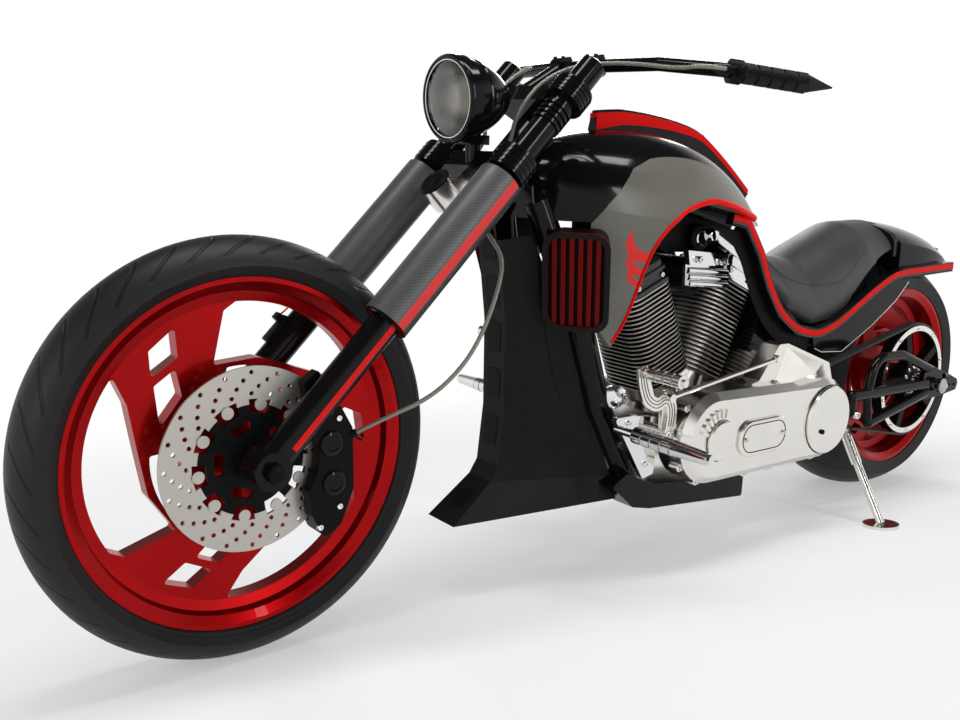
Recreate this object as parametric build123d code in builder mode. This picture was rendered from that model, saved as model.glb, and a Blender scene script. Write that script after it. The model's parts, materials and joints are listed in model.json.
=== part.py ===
"""A long chopper motorcycle that leans on its side stand, in millimetres.

The machine is drawn upright: X points forward from the rear axle, Y to the rider's left and Z up from the
ground. At the end every finished piece is leaned onto the side stand, and the origin is set on the ground
under the middle of the whole machine.
"""
import os
from math import cos, hypot, radians, sin, sqrt, tan

from build123d import *

os.makedirs("parts", exist_ok=True)

# Stance
wheelbase = 1897.0
lean = 5.84
rake = 44.5

# General clearances
fit_gap = 0.3
running_gap = 0.5
side_clearance = 6.0

# Front wheel
front_tyre_radius = 370.0
front_tyre_width = 130.0
front_crown = 69.4
front_lip_radius = 305.5
front_rim_width = 90.0
front_hub_length = 110.0

# Rear wheel
rear_tyre_radius = 328.6
rear_tyre_width = 250.0
rear_crown = 170.0
rear_lip_radius = 243.0
rear_rim_width = 232.0
rear_hub_length = 236.0

# What both wheels share
hub_radius = 36.0
axle_radius = 12.5
lip_thickness = 7.0
lip_height = 13.0
tyre_wall = 10.0
web_half = 15.0
rim_depth = 43.0

# Brakes and drive
disc_radius = 160.0
disc_inner = 105.0
disc_thickness = 5.0
disc_plane = 62.0
button_circle = 94.5
button_count = 10
button_radius = 10.5
pulley_radius = 150.0
pulley_plane = 150.0
belt_width = 24.0
belt_thickness = 6.0
front_pulley_radius = 58.0
front_pulley_x = 470.0
front_pulley_z = 328.0

# Steering
leg_spread = 119.0
leg_radius = 28.0
tube_radius = 26.0
cover_radius = 43.0
cover_start = 318.0
cover_end = 660.0
stem_offset = 60.0
stem_radius = 20.0
neck_radius = 38.0
lower_clamp_start = 672.0
lower_clamp_height = 48.0
upper_clamp_start = 862.0
upper_clamp_height = 40.0
fork_top = 960.0

# Engine
crank_x = 820.0
crank_z = 262.0
bank_angle = 22.5
bore_radius = 52.0
fin_size = 152.0
fin_thickness = 3.2
fin_pitch = 10.4
fin_count = 22
fin_start = 150.0
head_start = fin_start + fin_count * fin_pitch
rocker_height = 62.0

# Primary case
primary_inner = 170.0
primary_face = 250.0
clutch_x = 520.0
clutch_z = 305.0
clutch_radius = 86.0
engine_case_x = 918.0
engine_case_z = 312.0
engine_case_radius = 100.0

# Frame
frame_tube_radius = 27.0
downtube_spread = 108.0
rail_spread = 128.0
body_rail_inner = 131.0
body_rail_outer = 150.0
body_rail_depth = 26.0
strut_thickness = 6.0
swingarm_plane = 225.0
swingarm_radius = 14.0
swingarm_pivot_x = 385.0
swingarm_pivot_z = 296.0
swingarm_pivot_radius = 16.0

# Side stand
stand_pivot = (340.0, 187.0, 240.0)
stand_folded = (-0.93, 0.3, -0.2)
stand_foot_x = 368.0
stand_foot_y = 334.0
stand_boss_half = 11.0
stand_leg_radius = 10.0
stand_pad_radius = 42.0
stand_pad_thickness = 8.0

# Worked out from the sizes above
front_axle_z = front_tyre_radius - front_crown + front_crown / cos(radians(lean))
rear_axle_z = rear_tyre_radius - rear_crown + rear_crown / cos(radians(lean))
steer_up = Vector(-sin(radians(rake)), 0, cos(radians(rake)))
steer_back = Vector(-cos(radians(rake)), 0, -sin(radians(rake)))
front_axle = Vector(wheelbase, 0, front_axle_z)
rear_axle = Vector(0, 0, rear_axle_z)
crank = Vector(crank_x, 0, crank_z)
world_up = Vector(0, -sin(radians(lean)), cos(radians(lean)))

pieces = {}


def finish(name, part):
    """Keep a finished piece under its own name."""
    pieces[name] = part


def fork_point(along, side=0.0, back=0.0):
    """Point beside the fork: distance up the legs from the axle, to the left, and behind the legs."""
    return front_axle + steer_up * along + steer_back * back + Vector(0, side, 0)


def polar(radius, angle):
    """Point in a wheel's plane, at an angle in degrees up from straight ahead."""
    return (radius * cos(radians(angle)), radius * sin(radians(angle)))


def rod(start, end, radius, mode=Mode.ADD):
    """Add a round bar from one point to another."""
    low = Vector(*start)
    high = Vector(*end)
    with Locations(Plane(origin=low, z_dir=high - low)):
        Cylinder(radius, (high - low).length, align=(Align.CENTER, Align.CENTER, Align.MIN), mode=mode)


def disc_at(centre, radius, inner_y, outer_y, mode=Mode.ADD):
    """Add a cylinder across the machine, between two places to the left of its middle."""
    rod((centre[0], inner_y, centre[1]), (centre[0], outer_y, centre[1]), radius, mode)


def plate(points, inner_y, outer_y, corner=0.0, mode=Mode.ADD):
    """Add a flat plate with the given side outline, between two places to the left of the middle."""
    with BuildSketch(Plane.XZ.offset(-outer_y), mode=Mode.PRIVATE) as outline:
        with BuildLine():
            Polyline(*points, close=True)
        make_face()
        if corner:
            fillet(outline.vertices(), corner)
    extrude(outline.sketch, amount=outer_y - inner_y, mode=mode)


def both_plates(points, inner_y, outer_y, corner=0.0, mode=Mode.ADD):
    """Add the same flat plate on each side of the machine."""
    plate(points, inner_y, outer_y, corner, mode)
    plate(points, -outer_y, -inner_y, corner, mode)


def below(points, depth):
    """Line that runs an even depth under a line of points that goes backwards."""
    lower = []
    for place, (x, z) in enumerate(points):
        behind = Vector(*points[min(place + 1, len(points) - 1)])
        ahead = Vector(*points[max(place - 1, 0)])
        way = (behind - ahead).normalized()
        lower.append((x - way.Y * depth, z + way.X * depth))
    return lower


def links(points, half_width, inner_y, outer_y):
    """Add flat bars with round ends, from each point of a side view to the next."""
    for start, end in zip(points, points[1:]):
        with BuildSketch(Plane.XZ.offset(-outer_y), mode=Mode.PRIVATE) as bar:
            with Locations(start, end):
                Circle(half_width)
            make_hull()
        extrude(bar.sketch, amount=outer_y - inner_y)


def hose(name, points, radius):
    """Keep a hose of straight runs, joined by arcs that take 45 percent of the shorter run beside each bend."""
    bends = []
    for before, here, after in zip(points, points[1:], points[2:]):
        shorter = min((here - before).length, (after - here).length)
        turn = (here - before).get_angle(after - here)
        bends.append(0.45 * shorter / tan(radians(turn / 2)))
    with BuildPart() as tube:
        with BuildLine():
            path = FilletPolyline(*points, radius=bends)
        with BuildSketch(Plane(origin=path @ 0, z_dir=path % 0)):
            Circle(radius)
        sweep()
    finish(name, tube.part)
    print(name, "length", round(path.length, 1), "bends", [round(bend) for bend in bends])


def spoke_windows(scale):
    """The four openings of one third of a wheel's web, drawn about the axle for a given size of wheel."""
    with BuildSketch(mode=Mode.PRIVATE) as windows:
        with BuildLine():
            ThreePointArc(polar(261 * scale, -31), polar(262 * scale, 2), polar(261 * scale, 36))
            Line(polar(261 * scale, 36), polar(216 * scale, 29))
            ThreePointArc(polar(216 * scale, 29), polar(178 * scale, 10), polar(167 * scale, -18))
            Polyline(polar(167 * scale, -18), polar(163 * scale, -46), polar(248 * scale, -36),
                     polar(261 * scale, -31))
        make_face()
        with BuildLine():
            ThreePointArc(polar(152 * scale, -38), polar(153 * scale, -18), polar(156 * scale, 6))
            Line(polar(156 * scale, 6), polar(104 * scale, 12))
            ThreePointArc(polar(104 * scale, 12), polar(98 * scale, -20), polar(102 * scale, -50))
            Line(polar(102 * scale, -50), polar(152 * scale, -38))
        make_face()
        with BuildLine():
            Polyline(polar(243 * scale, 51), polar(208 * scale, 44), polar(204 * scale, 59),
                     polar(250 * scale, 64), close=True)
        make_face()
        with BuildLine():
            Polyline(polar(196 * scale, 42), polar(191 * scale, 55), polar(148 * scale, 48),
                     polar(150 * scale, 24), close=True)
        make_face()
        fillet(windows.vertices(), 5 * scale)
    return windows.sketch


# Wheels: name, axle, tyre radius and width, crown radius, lip radius, rim width, hub length,
# and how far the spoke web sits to the left of the middle
wheels = (
    ("front", front_axle, front_tyre_radius, front_tyre_width, front_crown, front_lip_radius,
     front_rim_width, front_hub_length, 0.0),
    ("rear", rear_axle, rear_tyre_radius, rear_tyre_width, rear_crown, rear_lip_radius,
     rear_rim_width, rear_hub_length, 40.0),
)
sectors = 3

for name, axle, radius, width, crown, lip, rim_width, hub_length, web_y in wheels:
    half = rim_width / 2
    bead = half - lip_thickness - fit_gap
    bed = lip - lip_height
    shoulder = radius - crown + sqrt(crown**2 - (width / 2) ** 2)
    across = Plane(origin=axle, x_dir=(0, 1, 0), z_dir=(1, 0, 0))
    turn_axis = Axis(axle, (0, 1, 0))

    with BuildPart() as tyre:
        with BuildSketch(across):
            with BuildLine():
                Polyline((bead, bed + fit_gap), (bead, lip + 1), (half + 2, lip + 1), (width / 2, shoulder))
                ThreePointArc((width / 2, shoulder), (0, radius), (-width / 2, shoulder))
                Polyline((-width / 2, shoulder), (-half - 2, lip + 1), (-bead, lip + 1),
                         (-bead, bed + fit_gap), (-bead + tyre_wall, bed + fit_gap),
                         (-bead + tyre_wall, lip + 2), (-width / 2 + tyre_wall + 2, shoulder))
                ThreePointArc((-width / 2 + tyre_wall + 2, shoulder), (0, radius - tyre_wall),
                              (width / 2 - tyre_wall - 2, shoulder))
                Polyline((width / 2 - tyre_wall - 2, shoulder), (bead - tyre_wall, lip + 2),
                         (bead - tyre_wall, bed + fit_gap), (bead, bed + fit_gap))
            make_face()
        revolve(axis=turn_axis)
    finish(f"{name}_tyre", tyre.part)

    web = Plane(origin=axle + Vector(0, web_y, 0), x_dir=(1, 0, 0), z_dir=(0, -1, 0))
    inner = lip - rim_depth
    scale = inner / (front_lip_radius - rim_depth)
    with BuildPart() as rim:
        with BuildSketch(across):
            with BuildLine():
                Polyline((half, lip), (half - lip_thickness, lip), (half - lip_thickness, bed),
                         (-half + lip_thickness, bed), (-half + lip_thickness, lip), (-half, lip),
                         (-half, lip - 8), (-half + 10, lip - 22), (web_y - web_half - 6, lip - 26),
                         (web_y - web_half, inner), (web_y + web_half, inner),
                         (web_y + web_half + 6, lip - 26), (half - 10, lip - 22), (half, lip - 8), close=True)
            make_face()
        revolve(axis=turn_axis)
        with BuildSketch(web):
            Circle(inner + 3)
            with PolarLocations(0, sectors):
                add(spoke_windows(scale), mode=Mode.SUBTRACT)
        extrude(amount=web_half, both=True)
        rod(axle + Vector(0, -hub_length / 2, 0), axle + Vector(0, hub_length / 2, 0), hub_radius)
        rod(axle + Vector(0, -hub_length, 0), axle + Vector(0, hub_length, 0), axle_radius + running_gap,
            Mode.SUBTRACT)
    finish(f"{name}_rim", rim.part)

# Front brake: drilled floating disc on the left, its lobed carrier and the silver buttons
disc_face = Plane(origin=front_axle + Vector(0, disc_plane + disc_thickness / 2, 0), x_dir=(1, 0, 0),
                  z_dir=(0, -1, 0))
# Rings of drilled holes: radius of the ring, angle by which it is turned
hole_rings = ((114.0, 0.0), (126.0, 6.0), (138.0, 12.0), (150.0, 18.0))
holes_per_ring = 20
hole_radius = 4.0
with BuildPart() as brake_disc:
    with BuildSketch(disc_face):
        Circle(disc_radius)
        Circle(disc_inner, mode=Mode.SUBTRACT)
        for ring_radius, ring_turn in hole_rings:
            with PolarLocations(ring_radius, holes_per_ring, start_angle=ring_turn):
                Circle(hole_radius, mode=Mode.SUBTRACT)
    with BuildSketch(disc_face):
        with PolarLocations(button_circle + 9, button_count, start_angle=9):
            Rectangle(20, 22)
        Circle(button_circle + 1.5, mode=Mode.SUBTRACT)
    extrude(amount=disc_thickness)
finish("brake_disc", brake_disc.part)

with BuildPart() as disc_carrier:
    with BuildSketch(disc_face):
        Circle(button_circle - 14)
        with PolarLocations(button_circle - 10, button_count, start_angle=9):
            Rectangle(26, 20)
        Circle(button_circle + 1.5 - fit_gap, mode=Mode.INTERSECT)
        with PolarLocations(58, 5, start_angle=0):
            SlotCenterToCenter(22, 17, rotation=90, mode=Mode.SUBTRACT)
        Circle(axle_radius + 12, mode=Mode.SUBTRACT)
    extrude(amount=disc_thickness)
    with BuildSketch(Plane(origin=front_axle + Vector(0, front_hub_length / 2 + fit_gap, 0), x_dir=(1, 0, 0),
                           z_dir=(0, 1, 0))):
        Circle(hub_radius + 4)
        Circle(axle_radius + 12, mode=Mode.SUBTRACT)
    extrude(amount=disc_plane - disc_thickness / 2 - front_hub_length / 2 - fit_gap)
finish("disc_carrier", disc_carrier.part)

with BuildPart() as disc_buttons:
    with BuildSketch(Plane(origin=front_axle + Vector(0, disc_plane + disc_thickness / 2 + fit_gap, 0),
                           x_dir=(1, 0, 0), z_dir=(0, 1, 0))):
        with PolarLocations(button_circle + 1.5, button_count, start_angle=9):
            Circle(button_radius)
    extrude(amount=3)
finish("disc_buttons", disc_buttons.part)

# Front axle through both fork legs, with a collar each side of the hub
with BuildPart() as axle_bar:
    rod(front_axle + Vector(0, -leg_spread - leg_radius - 6, 0),
        front_axle + Vector(0, leg_spread + leg_radius + 6, 0), axle_radius)
    for side in (-1, 1):
        rod(front_axle + Vector(0, side * (front_hub_length / 2 + running_gap), 0),
            front_axle + Vector(0, side * (leg_spread - leg_radius), 0), axle_radius + 5)
finish("front_axle", axle_bar.part)

# Fork legs, covers and upper tubes, one each side
with BuildPart() as fork_legs:
    for side in (-1, 1):
        spread = side * leg_spread
        rod(fork_point(0, spread), fork_point(cover_end - 20, spread), leg_radius)
        disc_at((front_axle.X, front_axle.Z), leg_radius + 5, spread - leg_radius, spread + leg_radius)
        disc_at((front_axle.X, front_axle.Z), axle_radius + fit_gap, spread - 60, spread + 60, Mode.SUBTRACT)
finish("fork_legs", fork_legs.part)

with BuildPart() as fork_covers:
    for side in (-1, 1):
        spread = side * leg_spread
        rod(fork_point(cover_start, spread), fork_point(cover_end, spread), cover_radius)
        rod(fork_point(cover_start - 1, spread), fork_point(cover_end + 1, spread), leg_radius + fit_gap,
            Mode.SUBTRACT)
finish("fork_covers", fork_covers.part)

tube_rings = 4
ring_pitch = 12.0
with BuildPart() as fork_tubes:
    for side in (-1, 1):
        spread = side * leg_spread
        rod(fork_point(cover_end - 20 + fit_gap, spread), fork_point(fork_top, spread), tube_radius)
        for ring in range(tube_rings):
            ring_start = upper_clamp_start - 60 + ring * ring_pitch
            rod(fork_point(ring_start, spread), fork_point(ring_start + ring_pitch / 2, spread), tube_radius + 4)
finish("fork_tubes", fork_tubes.part)

# Headlight: a bowl with a bezel, and a lens in front of it
lamp_front = Vector(1472, 0, 984)
lamp_tilt = 4.0
lamp_radius = 80.0
lamp_depth = 140.0
lamp_axis = Vector(cos(radians(lamp_tilt)), 0, -sin(radians(lamp_tilt)))
lamp_plane = Plane(origin=lamp_front, x_dir=lamp_axis, z_dir=(0, -1, 0))
with BuildPart() as lamp_shell:
    with BuildSketch(lamp_plane):
        with BuildLine():
            Polyline((0, lamp_radius - 9), (2, lamp_radius - 4), (0, lamp_radius), (-24, lamp_radius),
                     (-26, lamp_radius - 5))
            ThreePointArc((-26, lamp_radius - 5), (-100, 50), (-lamp_depth, 14))
            Polyline((-lamp_depth, 14), (-lamp_depth, 0), (-lamp_depth + 6, 0), (-lamp_depth + 6, 12))
            ThreePointArc((-lamp_depth + 6, 12), (-97, 44), (-26, lamp_radius - 11))
            Polyline((-26, lamp_radius - 11), (-10, lamp_radius - 11), (-10, lamp_radius - 9),
                     (0, lamp_radius - 9))
        make_face()
    revolve(axis=Axis(lamp_front, lamp_axis))
finish("headlight_shell", lamp_shell.part)

with BuildPart() as lamp_lens:
    with BuildSketch(lamp_plane):
        with BuildLine():
            Polyline((9, 10), (9, 0), (-8, 0), (-8, lamp_radius - 9 - fit_gap), (-3, lamp_radius - 9 - fit_gap))
            ThreePointArc((-3, lamp_radius - 9 - fit_gap), (6, 40), (9, 10))
        make_face()
    revolve(axis=Axis(lamp_front, lamp_axis))
finish("headlight_lens", lamp_lens.part)

with BuildPart() as bowl_room:
    with BuildSketch(lamp_plane):
        with BuildLine():
            Polyline((-lamp_depth - 1, 14), (-lamp_depth - 1, 0), (4, 0), (4, lamp_radius + fit_gap),
                     (-24, lamp_radius + fit_gap), (-26, lamp_radius - 5 + fit_gap))
            ThreePointArc((-26, lamp_radius - 5 + fit_gap), (-100, 50 + fit_gap), (-lamp_depth - 1, 14))
        make_face()
    revolve(axis=Axis(lamp_front, lamp_axis))

# Glands where the hoses end, on the lower clamp, the caliper and the hand controls
hose_radius = 4.0
gland_radius = 7.0
gland_length = 10.0
bar_hose_side = 40.0
bar_hose_back = 14.0
brake_hose_side = 52.0
brake_hose_back = 50.0

# Triple clamps: a boss round each fork tube and one round the stem, joined by a web; the lower one carries
# the stem and the headlight bracket
clamp_boss = tube_radius + 13
clamp_relief = 12.0
lower_clamp_end = lower_clamp_start + lower_clamp_height
upper_clamp_end = upper_clamp_start + upper_clamp_height
for clamp_name, start, height in (("lower_clamp", lower_clamp_start, lower_clamp_height),
                                  ("upper_clamp", upper_clamp_start, upper_clamp_height)):
    level = Plane(origin=fork_point(start), x_dir=(0, 1, 0), z_dir=steer_up)
    with BuildPart() as clamp:
        with BuildSketch(level):
            with Locations((-leg_spread, 0), (leg_spread, 0)):
                Circle(clamp_boss)
            with BuildLine():
                Polyline((-leg_spread, 6 - clamp_boss), (-leg_spread + 24, 6 - clamp_boss),
                         (-leg_spread + 44, -clamp_relief), (leg_spread - 44, -clamp_relief),
                         (leg_spread - 24, 6 - clamp_boss), (leg_spread, 6 - clamp_boss),
                         (neck_radius, stem_offset + 14), (-neck_radius, stem_offset + 14), close=True)
            make_face()
            with Locations((0, stem_offset)):
                Circle(neck_radius)
            with Locations((-leg_spread, 0), (leg_spread, 0)):
                Circle(tube_radius + fit_gap, mode=Mode.SUBTRACT)
            if clamp_name == "upper_clamp":
                with Locations((0, stem_offset)):
                    Circle(stem_radius + fit_gap, mode=Mode.SUBTRACT)
        extrude(amount=height)
        if clamp_name == "lower_clamp":
            rod(fork_point(start + 1, 0, stem_offset), fork_point(upper_clamp_end + 10, 0, stem_offset),
                stem_radius)
            rod(fork_point(start + height / 2, 0, 0), lamp_front - lamp_axis * 62 - Vector(0, 0, lamp_radius - 14),
                15)
            with Locations(Plane(origin=lamp_front - lamp_axis * 62 - Vector(0, 0, lamp_radius - 4),
                                 x_dir=lamp_axis, z_dir=(0, 0, 1))):
                Box(46, 44, 18)
            add(bowl_room.part, mode=Mode.SUBTRACT)
            rod(fork_point(start - gland_length, brake_hose_side, brake_hose_back),
                fork_point(start + 1, brake_hose_side, brake_hose_back), gland_radius)
            for side in (-1, 1):
                rod(fork_point(lower_clamp_end - 1, side * bar_hose_side, bar_hose_back),
                    fork_point(lower_clamp_end + gland_length, side * bar_hose_side, bar_hose_back), gland_radius)
    finish(clamp_name, clamp.part)

# Horn: a box under the lower clamp with a round sounder in front
with BuildPart() as horn:
    with Locations(Plane(origin=fork_point(lower_clamp_start - fit_gap, -6, -2), x_dir=(0, 1, 0), z_dir=-steer_up)):
        Box(74, 40, 46, align=(Align.CENTER, Align.CENTER, Align.MIN))
    rod(fork_point(lower_clamp_start - 60, -6, 14), fork_point(lower_clamp_start - 60, -6, -34), 32)
finish("horn", horn.part)

# Handlebar on two risers, pulled back on each side to the grips
bar_radius = 13.0
riser_radius = 17.0
riser_y = 48.0
bar_knee = Vector(1150, 78, 1066)
bar_mid = Vector(1128, 200, 1066)
grip_start = Vector(1098, 330, 1053)
grip_tip = Vector(905, 430, 1032)
grip_way = (grip_tip - grip_start).normalized()
bar_end = grip_start + grip_way * 150
riser_foot = fork_point(upper_clamp_end + fit_gap, riser_y, 16)
with BuildPart() as handlebar:
    with BuildLine():
        bar_path = FilletPolyline(
            *[Vector(p.X, -p.Y, p.Z) for p in (bar_end, grip_start, bar_mid, bar_knee)],
            *[Vector(p.X, p.Y, p.Z) for p in (bar_knee, bar_mid, grip_start, bar_end)],
            radius=30)
    with BuildSketch(Plane(origin=bar_path @ 0, z_dir=bar_path % 0)):
        Circle(bar_radius)
    sweep()
    for side in (-1, 1):
        foot = Vector(riser_foot.X, side * riser_foot.Y, riser_foot.Z)
        rod(foot, foot + steer_up * 14, riser_radius + 2)
        rod(foot + steer_up * 10, Vector(bar_knee.X, side * riser_y, bar_knee.Z), riser_radius)
        rod(Vector(bar_knee.X, side * (riser_y - 16), bar_knee.Z),
            Vector(bar_knee.X, side * (riser_y + 16), bar_knee.Z), bar_radius + 9)
finish("handlebar", handlebar.part)

# Ringed grips with pointed ends, and the clamp and lever inboard of each
grip_radius = 19.0
grip_from = 36.0
grip_length = 132.0
grip_rings = 5
grip_pitch = 26.0
with BuildPart() as left_grip:
    rod(grip_start + grip_way * grip_from, grip_start + grip_way * (grip_from + grip_length), grip_radius - 3)
    for ring in range(grip_rings):
        ring_start = grip_from + 2 + ring * grip_pitch
        rod(grip_start + grip_way * ring_start, grip_start + grip_way * (ring_start + 20), grip_radius)
    with Locations(Plane(origin=grip_start + grip_way * (grip_from + grip_length), z_dir=grip_way)):
        Cone(grip_radius - 3, 1.5, 50, align=(Align.CENTER, Align.CENTER, Align.MIN))
    rod(grip_start + grip_way * 20, grip_start + grip_way * 151, bar_radius + fit_gap, Mode.SUBTRACT)
with BuildPart() as grips:
    add(left_grip.part)
    mirror(left_grip.part, about=Plane.XZ)
finish("grips", grips.part)

control_foot = grip_start + grip_way * 23
lever_out = Vector(-grip_way.Y, grip_way.X, 0).normalized() * -1
lever_knee = control_foot + lever_out * 40
lever_tip = lever_knee + grip_way * 128 - lever_out * 6
hose_gland = grip_start + lever_out * 21
bar_hose_line = (hose_gland - grip_way * (2 + fit_gap), hose_gland - grip_way * 46, Vector(1152, 272, 1053),
                 Vector(1162, 181, 1065),
                 Vector(1178, 107, 1068), Vector(1222, 77, 1060), Vector(1264, 62, 1043),
                 Vector(1301, 55, 1018), Vector(1330, 54, 987), Vector(1347, 44, 948))
with BuildPart() as left_control:
    rod(grip_start + grip_way * 12, grip_start + grip_way * 34, 22)
    rod(control_foot, lever_knee, 10)
    with Locations(lever_knee):
        Sphere(10)
    rod(lever_knee, lever_tip, 6)
    rod(hose_gland + grip_way * 20, hose_gland - grip_way * 2, gland_radius)
    rod(grip_start, grip_start + grip_way * 60, bar_radius + fit_gap, Mode.SUBTRACT)
with BuildPart() as hand_controls:
    add(left_control.part)
    mirror(left_control.part, about=Plane.XZ)
finish("hand_controls", hand_controls.part)

# Front caliper behind the left leg, straddling the disc
caliper_inner = disc_plane - 16
caliper_outer = disc_plane + 34
brake_gland = Vector(1736, 84, 388)
brake_gland_way = Vector(-0.72, 0.50, 0.48).normalized()
brake_gland_length = 28.0
with BuildPart() as caliper:
    plate(((1800, 470), (1752, 462), (1722, 410), (1718, 300), (1742, 238), (1776, 214), (1800, 262),
           (1812, 350)), caliper_inner, caliper_outer, 14)
    disc_at((front_axle.X, front_axle.Z), disc_radius + side_clearance, disc_plane - 9, disc_plane + 9,
            Mode.SUBTRACT)
    disc_at((front_axle.X, front_axle.Z), button_circle + button_radius + side_clearance, 0, 140, Mode.SUBTRACT)
    plate(((1806, 440), (1760, 440), (1790, 520), (1818, 500)), disc_plane + 14, caliper_outer, 4)
    rod(fork_point(cover_start - 20, leg_spread), fork_point(-40, leg_spread), leg_radius + fit_gap,
        Mode.SUBTRACT)
    rod(brake_gland, brake_gland + brake_gland_way * brake_gland_length, gland_radius)
finish("caliper", caliper.part)

# Brake hose from the caliper up to the lower clamp, and one hose down from each hand control
brake_hose_start = brake_gland + brake_gland_way * (brake_gland_length + fit_gap)
brake_hose_end = fork_point(lower_clamp_start - gland_length - fit_gap, brake_hose_side, brake_hose_back)
hose("brake_hose", (brake_hose_start, brake_hose_start + brake_gland_way * 56, Vector(1597, 150, 460),
                    Vector(1535, 160, 512), Vector(1492, 160, 571), Vector(1455, 152, 645),
                    Vector(1427, 130, 700), Vector(1436, 98, 737), brake_hose_end - steer_up * 50,
                    brake_hose_end), hose_radius)
bar_hose_end = fork_point(lower_clamp_end + gland_length + fit_gap, bar_hose_side, bar_hose_back)
bar_hose_points = (*bar_hose_line, bar_hose_end + steer_up * 35, bar_hose_end)
hose("bar_hose_left", bar_hose_points, hose_radius)
hose("bar_hose_right", [Vector(p.X, -p.Y, p.Z) for p in bar_hose_points], hose_radius)

# Frame head: the neck tube between the clamps, and the backbone inside the tank
neck_low = fork_point(lower_clamp_end + fit_gap, 0, stem_offset)
neck_high = fork_point(upper_clamp_start - fit_gap, 0, stem_offset)
backbone_start = (neck_low + neck_high) * 0.5
backbone_end = Vector(650, 0, 752)
backbone_radius = 30.0
with BuildPart() as frame_head:
    rod(neck_low, neck_high, neck_radius)
    rod(backbone_start, backbone_end, backbone_radius)
    rod(neck_low + steer_up * 12, neck_high - steer_up * 12, stem_radius + 5, Mode.SUBTRACT)
    rod(neck_low - steer_up, neck_high + steer_up, stem_radius + running_gap, Mode.SUBTRACT)
finish("frame_head", frame_head.part)

# Twin downtubes and flat bottom rails
downtube_line = ((1290, 56, 800), (1205, downtube_spread, 560), (1140, downtube_spread, 380), (1050, 118, 205))


def downtube_run(side, extra=0.0, mode=Mode.ADD):
    """Add one downtube with its brace to the backbone, thicker by a clearance where a neighbour makes room."""
    points = [Vector(x, side * y, z) for x, y, z in downtube_line]
    for start, end in zip(points, points[1:]):
        rod(start, end, frame_tube_radius + extra, mode)
    for joint in points[1:-1]:
        with Locations(joint):
            Sphere(frame_tube_radius + extra, mode=mode)
    rod(backbone_start - Vector(60, 0, 0), points[0] - Vector(10, side * -6, 10), 20 + extra, mode)


with BuildPart() as downtubes:
    for side in (-1, 1):
        downtube_run(side)
    rod(backbone_start, backbone_end, backbone_radius + fit_gap, Mode.SUBTRACT)
    rod(neck_low, neck_high, neck_radius + fit_gap, Mode.SUBTRACT)
finish("downtubes", downtubes.part)

with BuildPart() as bottom_rails:
    both_plates(((1085, 236), (1128, 214), (1062, 158), (1010, 146), (690, 118), (690, 170), (1000, 200)),
                rail_spread - frame_tube_radius, rail_spread + frame_tube_radius, 6)
    for side in (-1, 1):
        downtube_run(side, fit_gap, Mode.SUBTRACT)
finish("bottom_rails", bottom_rails.part)

# Engine: crankcase, two finned cylinders in a V, their rocker boxes and what lies between them
case_back = 700.0
with BuildPart() as crankcase:
    plate(((case_back, 180), (955, 180), (985, 260), (960, 340), (case_back, 340)), -100, 100)
    disc_at((crank.X, crank.Z), 104, -100, 100)
    disc_at((crank.X + 30, crank.Z + 20), 90, -142, -99)
    disc_at((crank.X + 40, crank.Z + 38), 60, 99, primary_inner - fit_gap)
    for way in (-1, 1):
        bank = Vector(way * sin(radians(bank_angle)), 0, cos(radians(bank_angle)))
        rod(crank + bank * 60, crank + bank * (fin_start - fit_gap), bore_radius + 8)
finish("crankcase", crankcase.part)

bank_gap = 1.5
finned = []
boxes_over = []
for way in (-1, 1):
    bank = Vector(way * sin(radians(bank_angle)), 0, cos(radians(bank_angle)))
    with BuildPart() as cylinder:
        rod(crank + bank * fin_start, crank + bank * head_start, bore_radius + 8)
        for fin in range(fin_count):
            with BuildSketch(Plane(origin=crank + bank * (fin_start + (fin + 0.5) * fin_pitch),
                                   x_dir=(0, 1, 0), z_dir=bank)):
                RectangleRounded(fin_size + 6, fin_size, 42)
            extrude(amount=fin_thickness)
        with Locations((crank.X + way * (bank_gap - 150), 0, crank.Z + 300)):
            Box(300, 300, 600, mode=Mode.SUBTRACT)
    finned.append(cylinder.part)

    # Layers of a rocker box: where it starts above the head, thickness, width and length
    with BuildPart() as rocker:
        for start, thick, wide, long in ((0.0, 9.0, 160.0, 122.0), (9.0, 22.0, 148.0, 108.0),
                                         (31.0, 7.0, 158.0, 118.0), (38.0, 24.0, 150.0, 110.0)):
            with BuildSketch(Plane(origin=crank + bank * (head_start + fit_gap + start), x_dir=(0, 1, 0),
                                   z_dir=bank)):
                RectangleRounded(wide, long, 16)
            extrude(amount=thick)
        chamfer(rocker.faces().sort_by(Axis(crank, bank))[-1].edges(), 9)
    boxes_over.append(rocker.part)

with BuildPart() as cylinders:
    add(finned)
finish("cylinders", cylinders.part)

with BuildPart() as rocker_boxes:
    add(boxes_over)
finish("rocker_boxes", rocker_boxes.part)

intake_z = crank.Z + 372
intake_radius = 42.0
intake_middle = Vector(crank.X, 0, intake_z)
with BuildPart() as intake:
    disc_at((crank.X, intake_z), intake_radius, -92, 64)
    disc_at((crank.X, intake_z), intake_radius - 10, 60, 65, Mode.SUBTRACT)
    for way in (-1, 1):
        across_bank = Vector(way * cos(radians(bank_angle)), 0, -sin(radians(bank_angle)))
        port_reach = sin(radians(bank_angle)) * (intake_z - crank.Z) - fin_size / 2 - fit_gap
        rod(intake_middle, intake_middle + across_bank * port_reach, 28)
finish("intake", intake.part)

with BuildPart() as air_cleaner:
    disc_at((crank.X, intake_z), 84, -158, -92 - fit_gap)
    fillet(air_cleaner.faces().sort_by(Axis.Y)[0].edges(), 16)
finish("air_cleaner", air_cleaner.part)

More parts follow.
